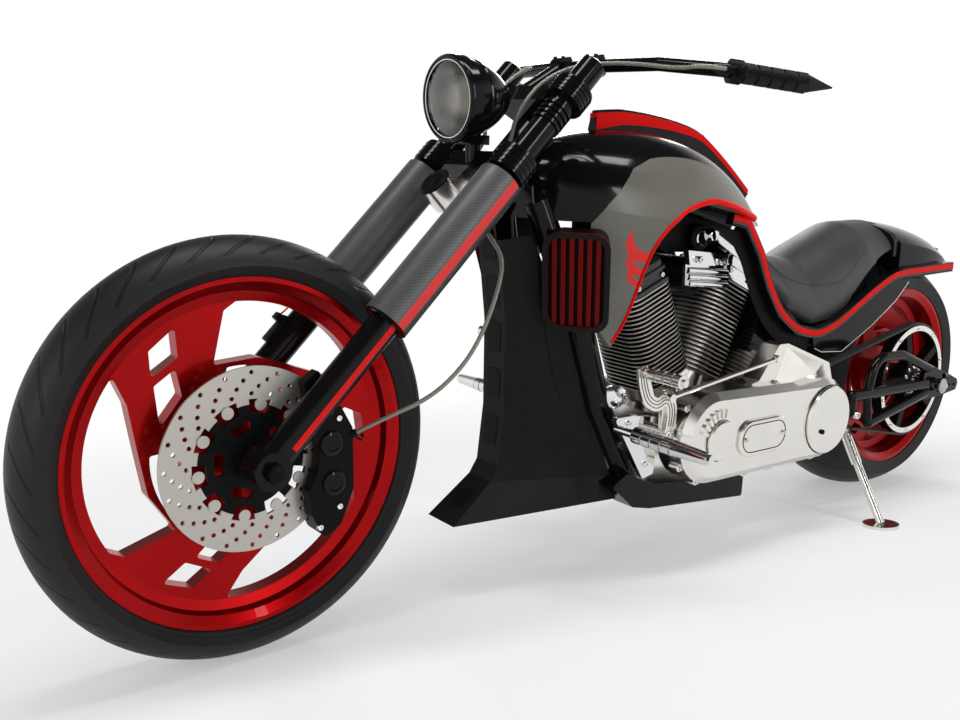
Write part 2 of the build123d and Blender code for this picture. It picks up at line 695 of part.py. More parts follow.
# Primary case: a long polished case whose ends are round, with its covers
upper_case = ((880, 395), (748, 414), (684, 492), (652, 492), (482, 432), (452, 360), (520, 300), (860, 320))
upper_case_face = primary_face - 34
with BuildPart() as primary:
    with BuildSketch(Plane.XZ.offset(-primary_inner)):
        with Locations((engine_case_x, engine_case_z)):
            Circle(engine_case_radius)
        with Locations((clutch_x, clutch_z)):
            Circle(clutch_radius + 10)
        make_hull()
    extrude(amount=-(primary_face - primary_inner))
    chamfer(primary.faces().sort_by(Axis.Y)[-1].edges(), 16)
    plate(upper_case, primary_inner, upper_case_face, 8)
finish("primary_case", primary.part)

with BuildPart() as primary_covers:
    disc_at((908, 308), 44, primary_face + fit_gap, primary_face + 9)
    disc_at((clutch_x, clutch_z), clutch_radius - 4, primary_face + fit_gap, primary_face + 8)
    with BuildSketch(Plane.XZ.offset(-primary_face - fit_gap)):
        with Locations((766, 300)):
            SlotOverall(170, 82)
    extrude(amount=-8)
    chamfer(primary_covers.faces().filter_by(Axis.Y).sort_by(Axis.Y)[-3:].edges(), 3)
finish("primary_covers", primary_covers.part)

# Seat and the line of the body rails under it, which other pieces follow
# Columns: place along the machine, top at the middle, half width, height of the lower edge
tyre_top = rear_axle_z + rear_tyre_radius
seat_sections = ((588, 704, 58, 618), (520, 672, 116, 548), (430, 660, 130, 505), (330, 700, 130.5, 515),
                 (200, 748, 130, 580), (70, tyre_top + 94, 122, tyre_top - 3))
rail_line = ((800, 782.9), (745, 770.8), (716, 738), (684, 698), (640, 622), (590, 560), (520, 516),
             (440, 500), (370, 516), (300, 548), (220, 588), (150, tyre_top - 40), (80, tyre_top - 24),
             (-170, tyre_top - 14))
oil_tank_back = seat_sections[2][0]
oil_tank_low = 458.0

with BuildPart() as transmission:
    plate(((case_back - fit_gap, 190), (440, 196), (430, 330), (462, oil_tank_low - fit_gap),
           (640, oil_tank_low - fit_gap), (case_back - fit_gap, 336)), -128, 128, 0)
    rod((front_pulley_x, 127, front_pulley_z), (front_pulley_x, pulley_plane + 12, front_pulley_z),
        front_pulley_radius)
    for inner_y in (-112, 92):
        plate(((450, 262), (450, 330), (372, 322), (360, 296), (372, 270)), inner_y, inner_y + 20, 5)
    disc_at((swingarm_pivot_x, swingarm_pivot_z), swingarm_pivot_radius + fit_gap, -130, 126, Mode.SUBTRACT)
finish("transmission", transmission.part)

with BuildPart() as oil_tank:
    plate(((590, 617), (598, 582), (648, oil_tank_low), (oil_tank_back, oil_tank_low),
           (oil_tank_back, seat_sections[2][3] - fit_gap), (520, seat_sections[1][3] - fit_gap)), -104, 104)
finish("oil_tank", oil_tank.part)

# Exhaust pipes on the right: from the front of the front head and from the side of the rear head
pipe_radius = 22.0
pipe_wall = 3.0
pipe_out = 270.0
head_x = sin(radians(bank_angle)) * (head_start - 30)
head_z = crank.Z + cos(radians(bank_angle)) * (head_start - 30)
head_reach = fin_size / 2 + fit_gap
port_length = 14.0
front_port_way = Vector(cos(radians(bank_angle)), 0, -sin(radians(bank_angle)))
front_port = Vector(crank.X + head_x, -36, head_z) + front_port_way * (head_reach + port_length)
rear_port_way = Vector(0, -1, 0)
rear_port = Vector(crank.X - head_x, -fin_size / 2 - 3 - fit_gap - port_length, head_z)
with BuildPart() as exhausts:
    for port, port_way, route in (
            (front_port, front_port_way, ((1010, -188, 400), (900, -215, 262), (500, -pipe_out, 232),
                                          (60, -pipe_out, 232))),
            (rear_port, rear_port_way, ((640, -215, 430), (520, -pipe_out, 300), (60, -pipe_out, 300)))):
        rod(port - port_way * port_length, port + port_way, pipe_radius + 6)
        with BuildLine():
            pipe_path = FilletPolyline(port, port + port_way * 62, *route, radius=45)
        with BuildSketch(Plane(origin=pipe_path @ 0, z_dir=pipe_path % 0)):
            Circle(pipe_radius)
            Circle(pipe_radius - pipe_wall, mode=Mode.SUBTRACT)
        sweep()
finish("exhausts", exhausts.part)

# Side scoops: rounded shells ahead of the panels, each with a recessed grille of upright slats
scoop_centre = Vector(1262, 150, 648)
scoop_face = Plane(origin=scoop_centre, x_dir=(-0.63, 0.777, 0), z_dir=(0.729, 0.591, -0.268))
scoop_width = 132.0
scoop_height = 206.0
scoop_depth = 60.0
scoop_recess = 13.0
slat_count = 6
with BuildPart() as scoop_block:
    with BuildSketch(scoop_face):
        RectangleRounded(scoop_width + 2 * fit_gap, scoop_height + 2 * fit_gap, 34)
    extrude(amount=-scoop_depth - fit_gap, taper=10)
    with BuildSketch(scoop_face):
        RectangleRounded(scoop_width + 2 * fit_gap, scoop_height + 2 * fit_gap, 34)
    extrude(amount=60)
with BuildPart() as left_scoop:
    with BuildSketch(scoop_face):
        RectangleRounded(scoop_width, scoop_height, 34)
    extrude(amount=-scoop_depth, taper=10)
    with BuildSketch(scoop_face):
        RectangleRounded(scoop_width - 22, scoop_height - 22, 26)
    extrude(amount=-scoop_recess, mode=Mode.SUBTRACT)
    with BuildSketch(scoop_face.offset(-scoop_recess - 0.5)):
        with GridLocations((scoop_width - 30) / slat_count, 0, slat_count, 1):
            Rectangle(9, scoop_height - 24)
    extrude(amount=scoop_recess - 3)
    downtube_run(1, fit_gap, Mode.SUBTRACT)
with BuildPart() as scoops:
    add(left_scoop.part)
    mirror(left_scoop.part, about=Plane.XZ)
finish("scoops", scoops.part)

# Fuel tank: one full form, from which the engine bay and the two charcoal panels are parted
# Columns: place along the machine, top, half width
tank_sections = ((1285, 880, 62), (1200, 925, 150), (1060, 948, 196), (900, 938, 204), (760, 885, 168),
                 (650, 806, 118), (585, 752, 64))
tank_bottom = 500.0
with BuildPart() as tank_form:
    for x, top, half in tank_sections:
        with BuildSketch(Plane(origin=(x, 0, 0), x_dir=(0, 1, 0), z_dir=(1, 0, 0))):
            with BuildLine():
                ThreePointArc((-half, top - 0.9 * half), (0, top), (half, top - 0.9 * half))
                Polyline((half, top - 0.9 * half), (half - 6, tank_bottom), (-half + 6, tank_bottom),
                         (-half, top - 0.9 * half))
            make_face()
    loft()
    add(scoop_block.part, mode=Mode.SUBTRACT)
    mirror(scoop_block.part, about=Plane.XZ, mode=Mode.SUBTRACT)
    for side in (-1, 1):
        downtube_run(side, fit_gap, Mode.SUBTRACT)
    rod(backbone_start, backbone_end, backbone_radius + fit_gap, Mode.SUBTRACT)
    rod(neck_low - steer_up * 60, neck_high + steer_up * 60, neck_radius + side_clearance, Mode.SUBTRACT)

# Side outlines: the bay over the engine, the open space before the panels, and a charcoal panel
bay = ((1166, 480), (1166, 516), (1137, 577), (1098, 694), (1064, 748), (1015, 785), (965, 800),
       (915, 805), (831, 790), (640, 748), (560, 736), (560, 480))
before = ((1166, 480), (1166, 516), (1195, 556), (1228, 686), (1252, 765), (1400, 765), (1400, 480))
panel_outline = ((1166, 516), (1137, 577), (1098, 694), (1064, 748), (1015, 785), (965, 800), (915, 805),
                 (831, 790), (640, 748), (640, 790), (700, 830), (800, 880), (920, 905), (1030, 905),
                 (1120, 870), (1190, 800), (1240, 735), (1228, 686), (1195, 556))
spine = ((1105, 940), (1096, 979), (1010, 984), (928, 978), (840, 966), (760, 949), (670, 892), (580, 827),
         (600, 770), (700, 800), (900, 900))
panel_inner = 138.0
with BuildPart() as tank:
    add(tank_form.part)
    plate(bay, -300, 300, mode=Mode.SUBTRACT)
    plate(before, -300, 300, mode=Mode.SUBTRACT)
    plate(((1300, 400), (1300, 765), (1110, 765), (560, 700), (560, 400)), -panel_inner, panel_inner,
          mode=Mode.SUBTRACT)
    both_plates(panel_outline, panel_inner, 300, mode=Mode.SUBTRACT)
    plate(spine, -9, 9)
    rod(backbone_start, backbone_end, backbone_radius + fit_gap, Mode.SUBTRACT)
finish("fuel_tank", tank.part)

with BuildPart() as panel_room:
    both_plates(panel_outline, panel_inner + fit_gap, 300)
with BuildPart() as tank_panels:
    add(tank_form.part)
    add(panel_room.part, mode=Mode.INTERSECT)
finish("tank_panels", tank_panels.part)

# Seat: a low saddle between the body rails
with BuildPart() as seat:
    for x, top, half, low in seat_sections:
        with BuildSketch(Plane(origin=(x, 0, 0), x_dir=(0, 1, 0), z_dir=(1, 0, 0))):
            with BuildLine():
                ThreePointArc((-half, low + 24), (0, top), (half, low + 24))
                Polyline((half, low + 24), (half - 6, low), (-half + 6, low), (-half, low + 24))
            make_face()
    loft(ruled=True)
    disc_at((rear_axle.X, rear_axle.Z), rear_tyre_radius + 34, -300, 300, Mode.SUBTRACT)
finish("seat", seat.part)

# Tail: a thin fender over the rear tyre, between the rails and open below
tail_clearance = 12.0
tail_front = seat_sections[-1][0] - fit_gap
tail_sections = ((tail_front, tyre_top + 92, 126, tyre_top - 46), (-40, tyre_top + 80, 128.7, tyre_top - 46),
                 (-140, tyre_top + 58, 122, tyre_top - 36), (-214, tyre_top + 32, 104, tyre_top - 28))
tail_room = 126.0
with BuildPart() as tail:
    for x, top, half, low in tail_sections:
        with BuildSketch(Plane(origin=(x, 0, 0), x_dir=(0, 1, 0), z_dir=(1, 0, 0))):
            with BuildLine():
                ThreePointArc((-half, top - 52), (0, top), (half, top - 52))
                Polyline((half, top - 52), (half + 2, low), (-half - 2, low), (-half, top - 52))
            make_face()
    loft()
    with BuildSketch(Plane(origin=rear_axle, x_dir=(0, 1, 0), z_dir=(1, 0, 0))):
        with BuildLine():
            crest = rear_tyre_radius + tail_clearance
            flank = rear_tyre_radius - rear_crown + sqrt((rear_crown + tail_clearance) ** 2 - tail_room**2)
            Line((-tail_room, 0), (-tail_room, flank))
            ThreePointArc((-tail_room, flank), (0, crest), (tail_room, flank))
            Polyline((tail_room, flank), (tail_room, 0), (-tail_room, 0))
        make_face()
    revolve(axis=Axis(rear_axle, (0, 1, 0)), mode=Mode.SUBTRACT)
finish("tail", tail.part)

tail_back = tail_sections[-1][0] - fit_gap
with BuildPart() as tail_lamp:
    plate(((tail_back, tyre_top + 18), (tail_back, tyre_top - 12), (tail_back - 12, tyre_top - 8),
           (tail_back - 14, tyre_top + 14)), -70, 70, 3)
finish("tail_lamp", tail_lamp.part)

# Body rails: the band that carries the stripe, from the tank along the saddle to the tail
with BuildPart() as body_rails:
    both_plates((*rail_line, *reversed(below(rail_line, body_rail_depth))), body_rail_inner, body_rail_outer)
finish("body_rails", body_rails.part)

# Tail struts: a thin panel hung under each rail, and the bar that ties them to the oil tank
strut_top = [point for point in below(rail_line, body_rail_depth + fit_gap) if 20 < point[0] < 442]
tie_radius = 12.0
tie = (oil_tank_back - tie_radius - fit_gap, 461)
with BuildPart() as tail_struts:
    both_plates((*strut_top, (30, tyre_top - 62), (84, tyre_top - 110), (190, 486), (312, 430), (400, 436), (432, 448)),
                body_rail_inner, body_rail_inner + strut_thickness)
    disc_at(tie, tie_radius, -body_rail_inner - 1, body_rail_inner + 1)
finish("tail_struts", tail_struts.part)

# Air dam: a narrow shell ahead of the downtubes that flares into a lip near the ground
# Columns: height at the front, place of the front, half width there, height at the back, place of the
# back, half width there
dam_sections = ((722, 1362, 34, 735, 1312, 70), (560, 1338, 34, 560, 1228, 98), (380, 1332, 34, 376, 1152, 108),
                (262, 1342, 35, 262, 1112, 112), (232, 1360, 36, 225, 1098, 118), (156, 1456, 44, 176, 1090, 130))
dam_wall = 5.0
with BuildPart() as air_dam:
    for inset, mode in ((0.0, Mode.ADD), (dam_wall, Mode.SUBTRACT)):
        for front_z, front_x, front_half, back_z, back_x, back_half in dam_sections:
            with BuildSketch(Plane(origin=(front_x, 0, front_z), x_dir=(0, 1, 0),
                                   z_dir=(back_z - front_z, 0, front_x - back_x))):
                with BuildLine():
                    reach = hypot(front_x - back_x, front_z - back_z) + inset
                    Polyline((inset - front_half, inset), (front_half - inset, inset),
                             (back_half - inset, reach), (inset - back_half, reach), close=True)
                make_face()
        loft(ruled=True, mode=mode)
    for side in (-1, 1):
        downtube_run(side, fit_gap, Mode.SUBTRACT)
    both_plates(((1085, 236), (1128, 214), (1062, 158), (1010, 146), (900, 118), (900, 236)),
                rail_spread - frame_tube_radius - fit_gap, rail_spread + frame_tube_radius + fit_gap,
                mode=Mode.SUBTRACT)
    add(scoop_block.part, mode=Mode.SUBTRACT)
    mirror(scoop_block.part, about=Plane.XZ, mode=Mode.SUBTRACT)
finish("air_dam", air_dam.part)

# Foot controls: a triangular plate off each downtube, and a ringed peg
peg_start = Vector(1140, 196, 346)
peg_way = Vector(-0.105, 0.993, -0.045)
foot_plane = 166.0
foot_thickness = 14.0
with BuildPart() as left_foot:
    plate(((1160, 372), (1108, 372), (1030, 360), (1034, 236), (1066, 230)), foot_plane,
          foot_plane + foot_thickness, 6)
    rod((1090, 120, 300), (1090, foot_plane + 1, 300), 14)
    rod((1140, foot_plane + 1, 346), peg_start + peg_way * 30, 9)
    rod(peg_start + peg_way * 20, peg_start + peg_way * 190, 12)
    for ring in range(4):
        rod(peg_start + peg_way * (22 + ring * 24), peg_start + peg_way * (42 + ring * 24), 17)
    with Locations(Plane(origin=peg_start + peg_way * 117, z_dir=peg_way)):
        Cone(16, 12.5, 79, align=(Align.CENTER, Align.CENTER, Align.MIN))
    rod(peg_start + peg_way * 190, peg_start + peg_way * 204, 10)
    downtube_run(1, fit_gap, Mode.SUBTRACT)
with BuildPart() as foot_controls:
    add(left_foot.part)
    mirror(left_foot.part, about=Plane.XZ)
finish("foot_controls", foot_controls.part)

# S-shaped shift lever with its own peg, and its rod back to the upper case
foot_face = foot_plane + foot_thickness + fit_gap
lever_plane = 206.0
linkage_plane = 224.0
with BuildPart() as shift_lever:
    links(((1116, 470), (1088, 402), (1046, 412), (1040, 332)), 11, lever_plane - 5, lever_plane + 5)
    disc_at((1040, 332), 15, foot_face, lever_plane + 7)
    rod((1116, lever_plane - 3, 470), (1106, 312, 466), 8)
    for ring in range(4):
        rod((1114.5, 226 + ring * 22, 469.2), (1113.5, 242 + ring * 22, 468.8), 13)
    disc_at((1046, 412), 9, lever_plane, linkage_plane + 7)
    rod((1046, linkage_plane, 412), (700, linkage_plane, 462), 5)
    disc_at((700, 462), 9, upper_case_face + fit_gap, linkage_plane + 7)
finish("shift_lever", shift_lever.part)

with BuildPart() as brake_pedal:
    links(((1146, 480), (1108, 420), (1052, 402), (1040, 332)), 11, -lever_plane - 5, 5 - lever_plane)
    disc_at((1040, 332), 15, -lever_plane - 7, -foot_face)
    rod((1146, 1 - lever_plane, 480), (1142, -290, 476), 13)
finish("brake_pedal", brake_pedal.part)

# Rear axle, swingarm, belt drive and rear brake
arm_inner = swingarm_plane - swingarm_radius
collar_start = pulley_plane + 14 + running_gap
with BuildPart() as rear_axle_bar:
    rod(rear_axle + Vector(0, -swingarm_plane - 22, 0), rear_axle + Vector(0, swingarm_plane + 22, 0), axle_radius)
    for side in (-1, 1):
        rod(rear_axle + Vector(0, side * collar_start, 0), rear_axle + Vector(0, side * (arm_inner - fit_gap), 0),
            axle_radius + 7)
        rod(rear_axle + Vector(0, side * (swingarm_plane + swingarm_radius + fit_gap), 0),
            rear_axle + Vector(0, side * (swingarm_plane + swingarm_radius + 14), 0), axle_radius + 7)
finish("rear_axle", rear_axle_bar.part)

plate_hole_x = (-72.0, -98.0)
plate_hole_z = 320.0
plate_hole_radius = 5.0
dropout_half = 7.0
dropout_outline = ((64, 368), (60, 292), (-30, 296), (-112, 304), (-118, 322), (-112, 334), (-30, 366))
arm_low = (300.0, 262.0)
arm_high = (swingarm_pivot_x, 340.0)
with BuildPart() as swingarm:
    for side in (-1, 1):
        plane_y = side * swingarm_plane
        rod((arm_low[0], plane_y, arm_low[1]), (0, plane_y, rear_axle.Z - 10), swingarm_radius)
        rod((arm_high[0], plane_y, arm_high[1]), (0, plane_y, rear_axle.Z + 4), swingarm_radius)
        rod((arm_high[0], plane_y, arm_high[1]), (swingarm_pivot_x, plane_y, swingarm_pivot_z - 4),
            swingarm_radius)
        rod((arm_low[0], plane_y, arm_low[1]), (arm_low[0] + 18, plane_y, 336), swingarm_radius - 3)
        with Locations((arm_low[0], plane_y, arm_low[1]), (arm_high[0], plane_y, arm_high[1])):
            Sphere(swingarm_radius)
        with BuildLine(Plane.XZ.offset(-plane_y)):
            arch = FilletPolyline((318, 340), (296, 428), (170, 424), (-60, rear_axle.Z + 12), radius=52)
        with BuildSketch(Plane(origin=arch @ 0, z_dir=arch % 0)):
            Circle(swingarm_radius - 2)
        sweep()
    both_plates(dropout_outline, swingarm_plane - dropout_half, swingarm_plane + dropout_half, 7)
    rod((swingarm_pivot_x, -swingarm_plane, swingarm_pivot_z), (swingarm_pivot_x, swingarm_plane, swingarm_pivot_z),
        swingarm_pivot_radius)
    for hole_x in plate_hole_x:
        disc_at((hole_x, plate_hole_z), plate_hole_radius, -260, 260, Mode.SUBTRACT)
    disc_at((0, rear_axle.Z), axle_radius + fit_gap, -260, 260, Mode.SUBTRACT)
    both_plates(((-40, 280), (-40, 380), (40, 380), (40, 280)), swingarm_plane + dropout_half, 260,
                mode=Mode.SUBTRACT)
    both_plates(((-40, 280), (-40, 380), (40, 380), (40, 280)), 190, swingarm_plane - dropout_half,
                mode=Mode.SUBTRACT)
finish("swingarm", swingarm.part)

belt_face = Plane.XZ.offset(-pulley_plane - belt_width / 2)
with BuildPart() as belt:
    with BuildSketch(belt_face):
        with Locations((rear_axle.X, rear_axle.Z)):
            Circle(pulley_radius + fit_gap + belt_thickness)
        with Locations((front_pulley_x, front_pulley_z)):
            Circle(front_pulley_radius + fit_gap + belt_thickness)
        make_hull()
    extrude(amount=belt_width)
    with BuildSketch(belt_face):
        with Locations((rear_axle.X, rear_axle.Z)):
            Circle(pulley_radius + fit_gap)
        with Locations((front_pulley_x, front_pulley_z)):
            Circle(front_pulley_radius + fit_gap)
        make_hull()
    extrude(amount=belt_width, mode=Mode.SUBTRACT)
finish("belt", belt.part)

rear_pulley_spokes = 5
with BuildPart() as rear_pulley:
    with BuildSketch(Plane.XZ.offset(-pulley_plane - 14)):
        with Locations((rear_axle.X, rear_axle.Z)):
            Circle(pulley_radius)
            Circle(pulley_radius - 16, mode=Mode.SUBTRACT)
            with PolarLocations((pulley_radius + 30) / 2, rear_pulley_spokes):
                Rectangle(pulley_radius - 36, 22)
            Circle(46)
            Circle(axle_radius + running_gap, mode=Mode.SUBTRACT)
    extrude(amount=28)
    rod(rear_axle + Vector(0, rear_hub_length / 2 + fit_gap, 0), rear_axle + Vector(0, pulley_plane, 0), 40)
    rod(rear_axle, rear_axle + Vector(0, pulley_plane + 30, 0), axle_radius + running_gap, Mode.SUBTRACT)
finish("rear_pulley", rear_pulley.part)

rear_disc_radius = 146.0
with BuildPart() as rear_disc:
    rod(rear_axle - Vector(0, rear_hub_length / 2 + fit_gap, 0), rear_axle - Vector(0, pulley_plane + 14, 0), 40)
    rod(rear_axle - Vector(0, pulley_plane - 3, 0), rear_axle - Vector(0, pulley_plane + 3, 0), rear_disc_radius)
    with BuildSketch(Plane.XZ.offset(pulley_plane - 20)):
        with Locations((rear_axle.X, rear_axle.Z)):
            with PolarLocations(76, 6):
                Circle(20)
            with PolarLocations(120, 18):
                Circle(5)
    extrude(amount=40, mode=Mode.SUBTRACT)
    rod(rear_axle, rear_axle - Vector(0, pulley_plane + 30, 0), axle_radius + running_gap, Mode.SUBTRACT)
finish("rear_brake_disc", rear_disc.part)

with BuildPart() as rear_caliper:
    plate(((150, 420), (90, 460), (60, 430), (100, 370), (150, 352)), -pulley_plane - 26, -pulley_plane + 18, 8)
    disc_at((rear_axle.X, rear_axle.Z), rear_disc_radius + side_clearance, -pulley_plane - 9, -pulley_plane + 9,
            Mode.SUBTRACT)
    plate(((150, 420), (110, 420), (110, 334), (150, 326)), -arm_inner + fit_gap, -pulley_plane - 20, 4)
finish("rear_caliper", rear_caliper.part)

# Side stand: a leg whose foot lies flat on the ground, and the bracket that hangs its pivot on the swingarm's
# cross tube
foot_on_ground = Vector(stand_foot_x, stand_foot_y * cos(radians(lean)), stand_foot_y * sin(radians(lean)))
pivot = Vector(*stand_pivot)
leg_way = (foot_on_ground - pivot).normalized()
stand_axis = leg_way.cross(Vector(*stand_folded)).normalized()
if stand_axis.Y < 0:
    stand_axis = stand_axis * -1
cheek_end = pivot - stand_axis * (stand_boss_half + running_gap)
with BuildPart() as stand:
    rod(pivot, foot_on_ground + world_up * stand_pad_thickness, stand_leg_radius)
    rod(pivot + leg_way * 20, pivot + leg_way * 90, stand_leg_radius + 3)
    rod(pivot - stand_axis * stand_boss_half, pivot + stand_axis * stand_boss_half, 17)
    rod(foot_on_ground, foot_on_ground + world_up * stand_pad_thickness, stand_pad_radius)
    rod(pivot - stand_axis * 40, pivot + stand_axis * 40, 8 + fit_gap, Mode.SUBTRACT)
finish("stand", stand.part)

with BuildPart() as stand_bracket:
    rod(cheek_end - stand_axis * 7, pivot + stand_axis * (stand_boss_half + 4), 8)
    with BuildSketch(Plane(origin=cheek_end, x_dir=Vector(1, 0, 0) - stand_axis * stand_axis.X,
                           z_dir=-stand_axis)):
        Circle(16)
        with Locations((46, 0)):
            Circle(9)
        make_hull()
    extrude(amount=7)
    rod(Vector(swingarm_pivot_x, 174, cheek_end.Z - 8), (swingarm_pivot_x, 176, swingarm_pivot_z), 8)
    rod((swingarm_pivot_x, 166, swingarm_pivot_z), (swingarm_pivot_x, 196, swingarm_pivot_z),
        swingarm_pivot_radius + 9)
    rod((swingarm_pivot_x, 150, swingarm_pivot_z), (swingarm_pivot_x, 210, swingarm_pivot_z),
        swingarm_pivot_radius + fit_gap, Mode.SUBTRACT)
finish("stand_bracket", stand_bracket.part)

# Lean the machine onto its stand and set the origin on the ground under its middle
cords = ("brake_hose", "bar_hose_left", "bar_hose_right")
parked = Rot(-lean, 0, 0)
leaned = {name: parked * part for name, part in pieces.items()}
boxes = [part.bounding_box() for name, part in leaned.items() if name not in cords]
low = Vector(*(min(getattr(box.min, way) for box in boxes) for way in "XYZ"))
high = Vector(*(max(getattr(box.max, way) for box in boxes) for way in "XYZ"))
middle = Vector((low.X + high.X) / 2, (low.Y + high.Y) / 2, low.Z)
for name, part in leaned.items():
    part = Pos(-middle.X, -middle.Y, -middle.Z) * part
    part.label = name
    export_step(part, f"parts/{name}.step")

# Where the joints and mounts are once it is parked
for label, point in (("middle", middle), ("size", high - low), ("stand_axis", stand_axis), ("leg_way", leg_way)):
    print(label, round(point.X, 4), round(point.Y, 4), round(point.Z, 4))
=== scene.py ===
"""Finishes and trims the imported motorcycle, which leans on its side stand.

Small pieces are placed in millimetres of the upright machine, as in its workshop drawing: X forward from the
rear axle, Y to the rider's left, Z up from the ground. The drawing matrix leans them with the machine and
turns them into the frame's metres.
"""
import json
from math import atan2, cos, pi, radians, sin

import bmesh
import bpy
from mathutils import Matrix, Vector
from mathutils.bvhtree import BVHTree


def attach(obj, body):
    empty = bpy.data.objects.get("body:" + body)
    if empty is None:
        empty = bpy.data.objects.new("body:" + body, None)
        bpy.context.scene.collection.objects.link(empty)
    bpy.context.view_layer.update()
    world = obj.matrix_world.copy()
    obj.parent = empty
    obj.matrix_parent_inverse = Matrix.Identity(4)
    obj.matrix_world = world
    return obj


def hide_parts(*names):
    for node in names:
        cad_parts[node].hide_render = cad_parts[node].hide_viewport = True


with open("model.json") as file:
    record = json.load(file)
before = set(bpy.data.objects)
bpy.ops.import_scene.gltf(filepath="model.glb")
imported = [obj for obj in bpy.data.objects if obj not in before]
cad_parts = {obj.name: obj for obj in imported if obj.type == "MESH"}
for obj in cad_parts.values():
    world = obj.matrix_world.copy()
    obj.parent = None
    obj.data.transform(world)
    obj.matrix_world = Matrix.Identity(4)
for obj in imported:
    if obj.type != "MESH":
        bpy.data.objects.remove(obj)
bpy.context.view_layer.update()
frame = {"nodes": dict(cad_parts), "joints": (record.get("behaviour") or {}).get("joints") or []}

bl_info = {
    "name": "Motorcycle finishes",
    "version": (1, 0, 0),
    "blender": (4, 5, 0),
    "location": "3D View > Sidebar > Motorcycle",
    "description": "Paints, upholsters and trims the packed motorcycle and sets up its studio",
    "category": "Object",
}

# The upright drawing, worked out from the frame's joints
REAR_AXLE_HEIGHT = 329.487
joints = {joint["name"]: joint for joint in frame["joints"]}
wheel_axis = Vector(joints["rear_wheel_spin"]["axis"])
lean = atan2(-wheel_axis.z, wheel_axis.y)
upright = Matrix.Rotation(-lean, 4, "X")
drawing = (Matrix.Translation(Vector(joints["rear_wheel_spin"]["pos_m"])) @ upright @ Matrix.Scale(0.001, 4)
           @ Matrix.Translation((0, 0, -REAR_AXLE_HEIGHT)))
from_frame = drawing.inverted()
rear_axle = from_frame @ Vector(joints["rear_wheel_spin"]["pos_m"])
front_axle = from_frame @ Vector(joints["front_wheel_spin"]["pos_m"])
steer_up = (upright.inverted() @ Vector(joints["steering_turn"]["axis"])).normalized()
steer_back = Vector((-steer_up.z, 0, steer_up.x))

# Driving sizes of the machine, in millimetres
LEG_SPREAD = 119.0
COVER_RADIUS = 43.0
COVER_START = 318.0
COVER_END = 660.0
CLAMP_BOSS = 39.0
CLAMPS = ((672.0, 48.0), (862.0, 40.0))
FORK_TOP = 960.0
STEM_OFFSET = 60.0
CRANK = Vector((820.0, 0.0, 262.0))
BANK_ANGLE = radians(22.5)
HEAD_START = 378.8
ROCKER_TOP = HEAD_START + 62.3
PRIMARY_FACE = 250.0
UPPER_CASE_FACE = 216.0
ENGINE_COVER = (908.0, 308.0)
CLUTCH_COVER = (520.0, 305.0)
OVAL_COVER = (766.0, 300.0)
RAIL_FACE = 150.0
PULLEY_FACE = 164.0
SWINGARM_FACE = 232.0
LAMP_FRONT = Vector((1472.0, 0.0, 984.0))
LAMP_AXIS = Vector((cos(radians(4)), 0, -sin(radians(4))))
LEVER_FACE = 211.0
X_WAY, Y_WAY, Z_WAY = Vector((1, 0, 0)), Vector((0, 1, 0)), Vector((0, 0, 1))

# Outer line of the body rails, and lower border of the tank's charcoal panel: place along, height
RAIL_LINE = ((800, 782.9), (745, 770.8), (716, 738), (684, 698), (640, 622), (590, 560), (520, 516), (440, 500),
             (370, 516), (300, 548), (220, 588), (150, 618), (80, 634), (-170, 644))
PANEL_BORDER = ((1164, 524), (1137, 579), (1098, 695), (1064, 749), (1015, 787), (965, 802), (915, 807),
                (831, 793), (740, 772), (650, 752))
SPINE_TOP = ((1098, 979), (1055, 983), (1010, 985), (928, 980), (840, 968), (760, 946), (670, 892), (582, 828))
SHIFT_LEVER = ((1128, 482), (1120, 446), (1104, 414), (1078, 400), (1056, 407), (1038, 400), (1030, 372), (1036, 328))

# Mouth of the side scoops: a point on it, and how it faces forward, outward and downward
SCOOP_MOUTH = (1262, 150, 648)
SCOOP_WAY = (0.729, 0.591, 0.268)
# Crescents on the tank panel: centre along, centre height, outer radius, how far the inner circle is moved, up
CRESCENTS = ((1122, 662, 22, 9, 10), (1119, 690, 29, 11, 14), (1115, 724, 36, 13, 19))
CRESCENT_EDGE = 0.6
# Where the fork stripe starts above the axle, and its middle round the leg, in degrees
STRIPE_START = 48.0
STRIPE_MIDDLE = 83
ROUND_CAP = (806, 721)


def fork_point(along, side=0.0, back=0.0):
    """Point beside the fork: distance up the legs from the axle, to the left, and behind the legs."""
    return front_axle + steer_up * along + steer_back * back + Y_WAY * side


def bank_way(way):
    """Direction up a cylinder: way is 1 for the front one and -1 for the rear one."""
    return Vector((way * sin(BANK_ANGLE), 0, cos(BANK_ANGLE)))


def below(points, depth):
    """Line that runs an even depth under a line of points that goes backwards."""
    lower = []
    for place, point in enumerate(points):
        ahead = Vector(points[max(place - 1, 0)])
        behind = Vector(points[min(place + 1, len(points) - 1)])
        way = (behind - ahead).normalized()
        lower.append((point[0] - way.y * depth, point[1] + way.x * depth))
    return lower


def smooth_line(points, parts=6):
    """Points on a smooth curve that passes through every given point."""
    points = [Vector(p) for p in points]
    line = []
    for place in range(len(points) - 1):
        before, start = points[max(place - 1, 0)], points[place]
        end, after = points[place + 1], points[min(place + 2, len(points) - 1)]
        for part in range(parts):
            t = part / parts
            line.append(0.5 * (2 * start + (end - before) * t + (2 * before - 5 * start + 4 * end - after) * t ** 2
                               + (3 * start - before - 3 * end + after) * t ** 3))
    return line + points[-1:]


def body_skin(node):
    """A CAD node's surface in the drawing's millimetres, for finding places on it."""
    mesh = frame["nodes"][node].data
    return BVHTree.FromPolygons([from_frame @ v.co for v in mesh.vertices], [p.vertices for p in mesh.polygons])


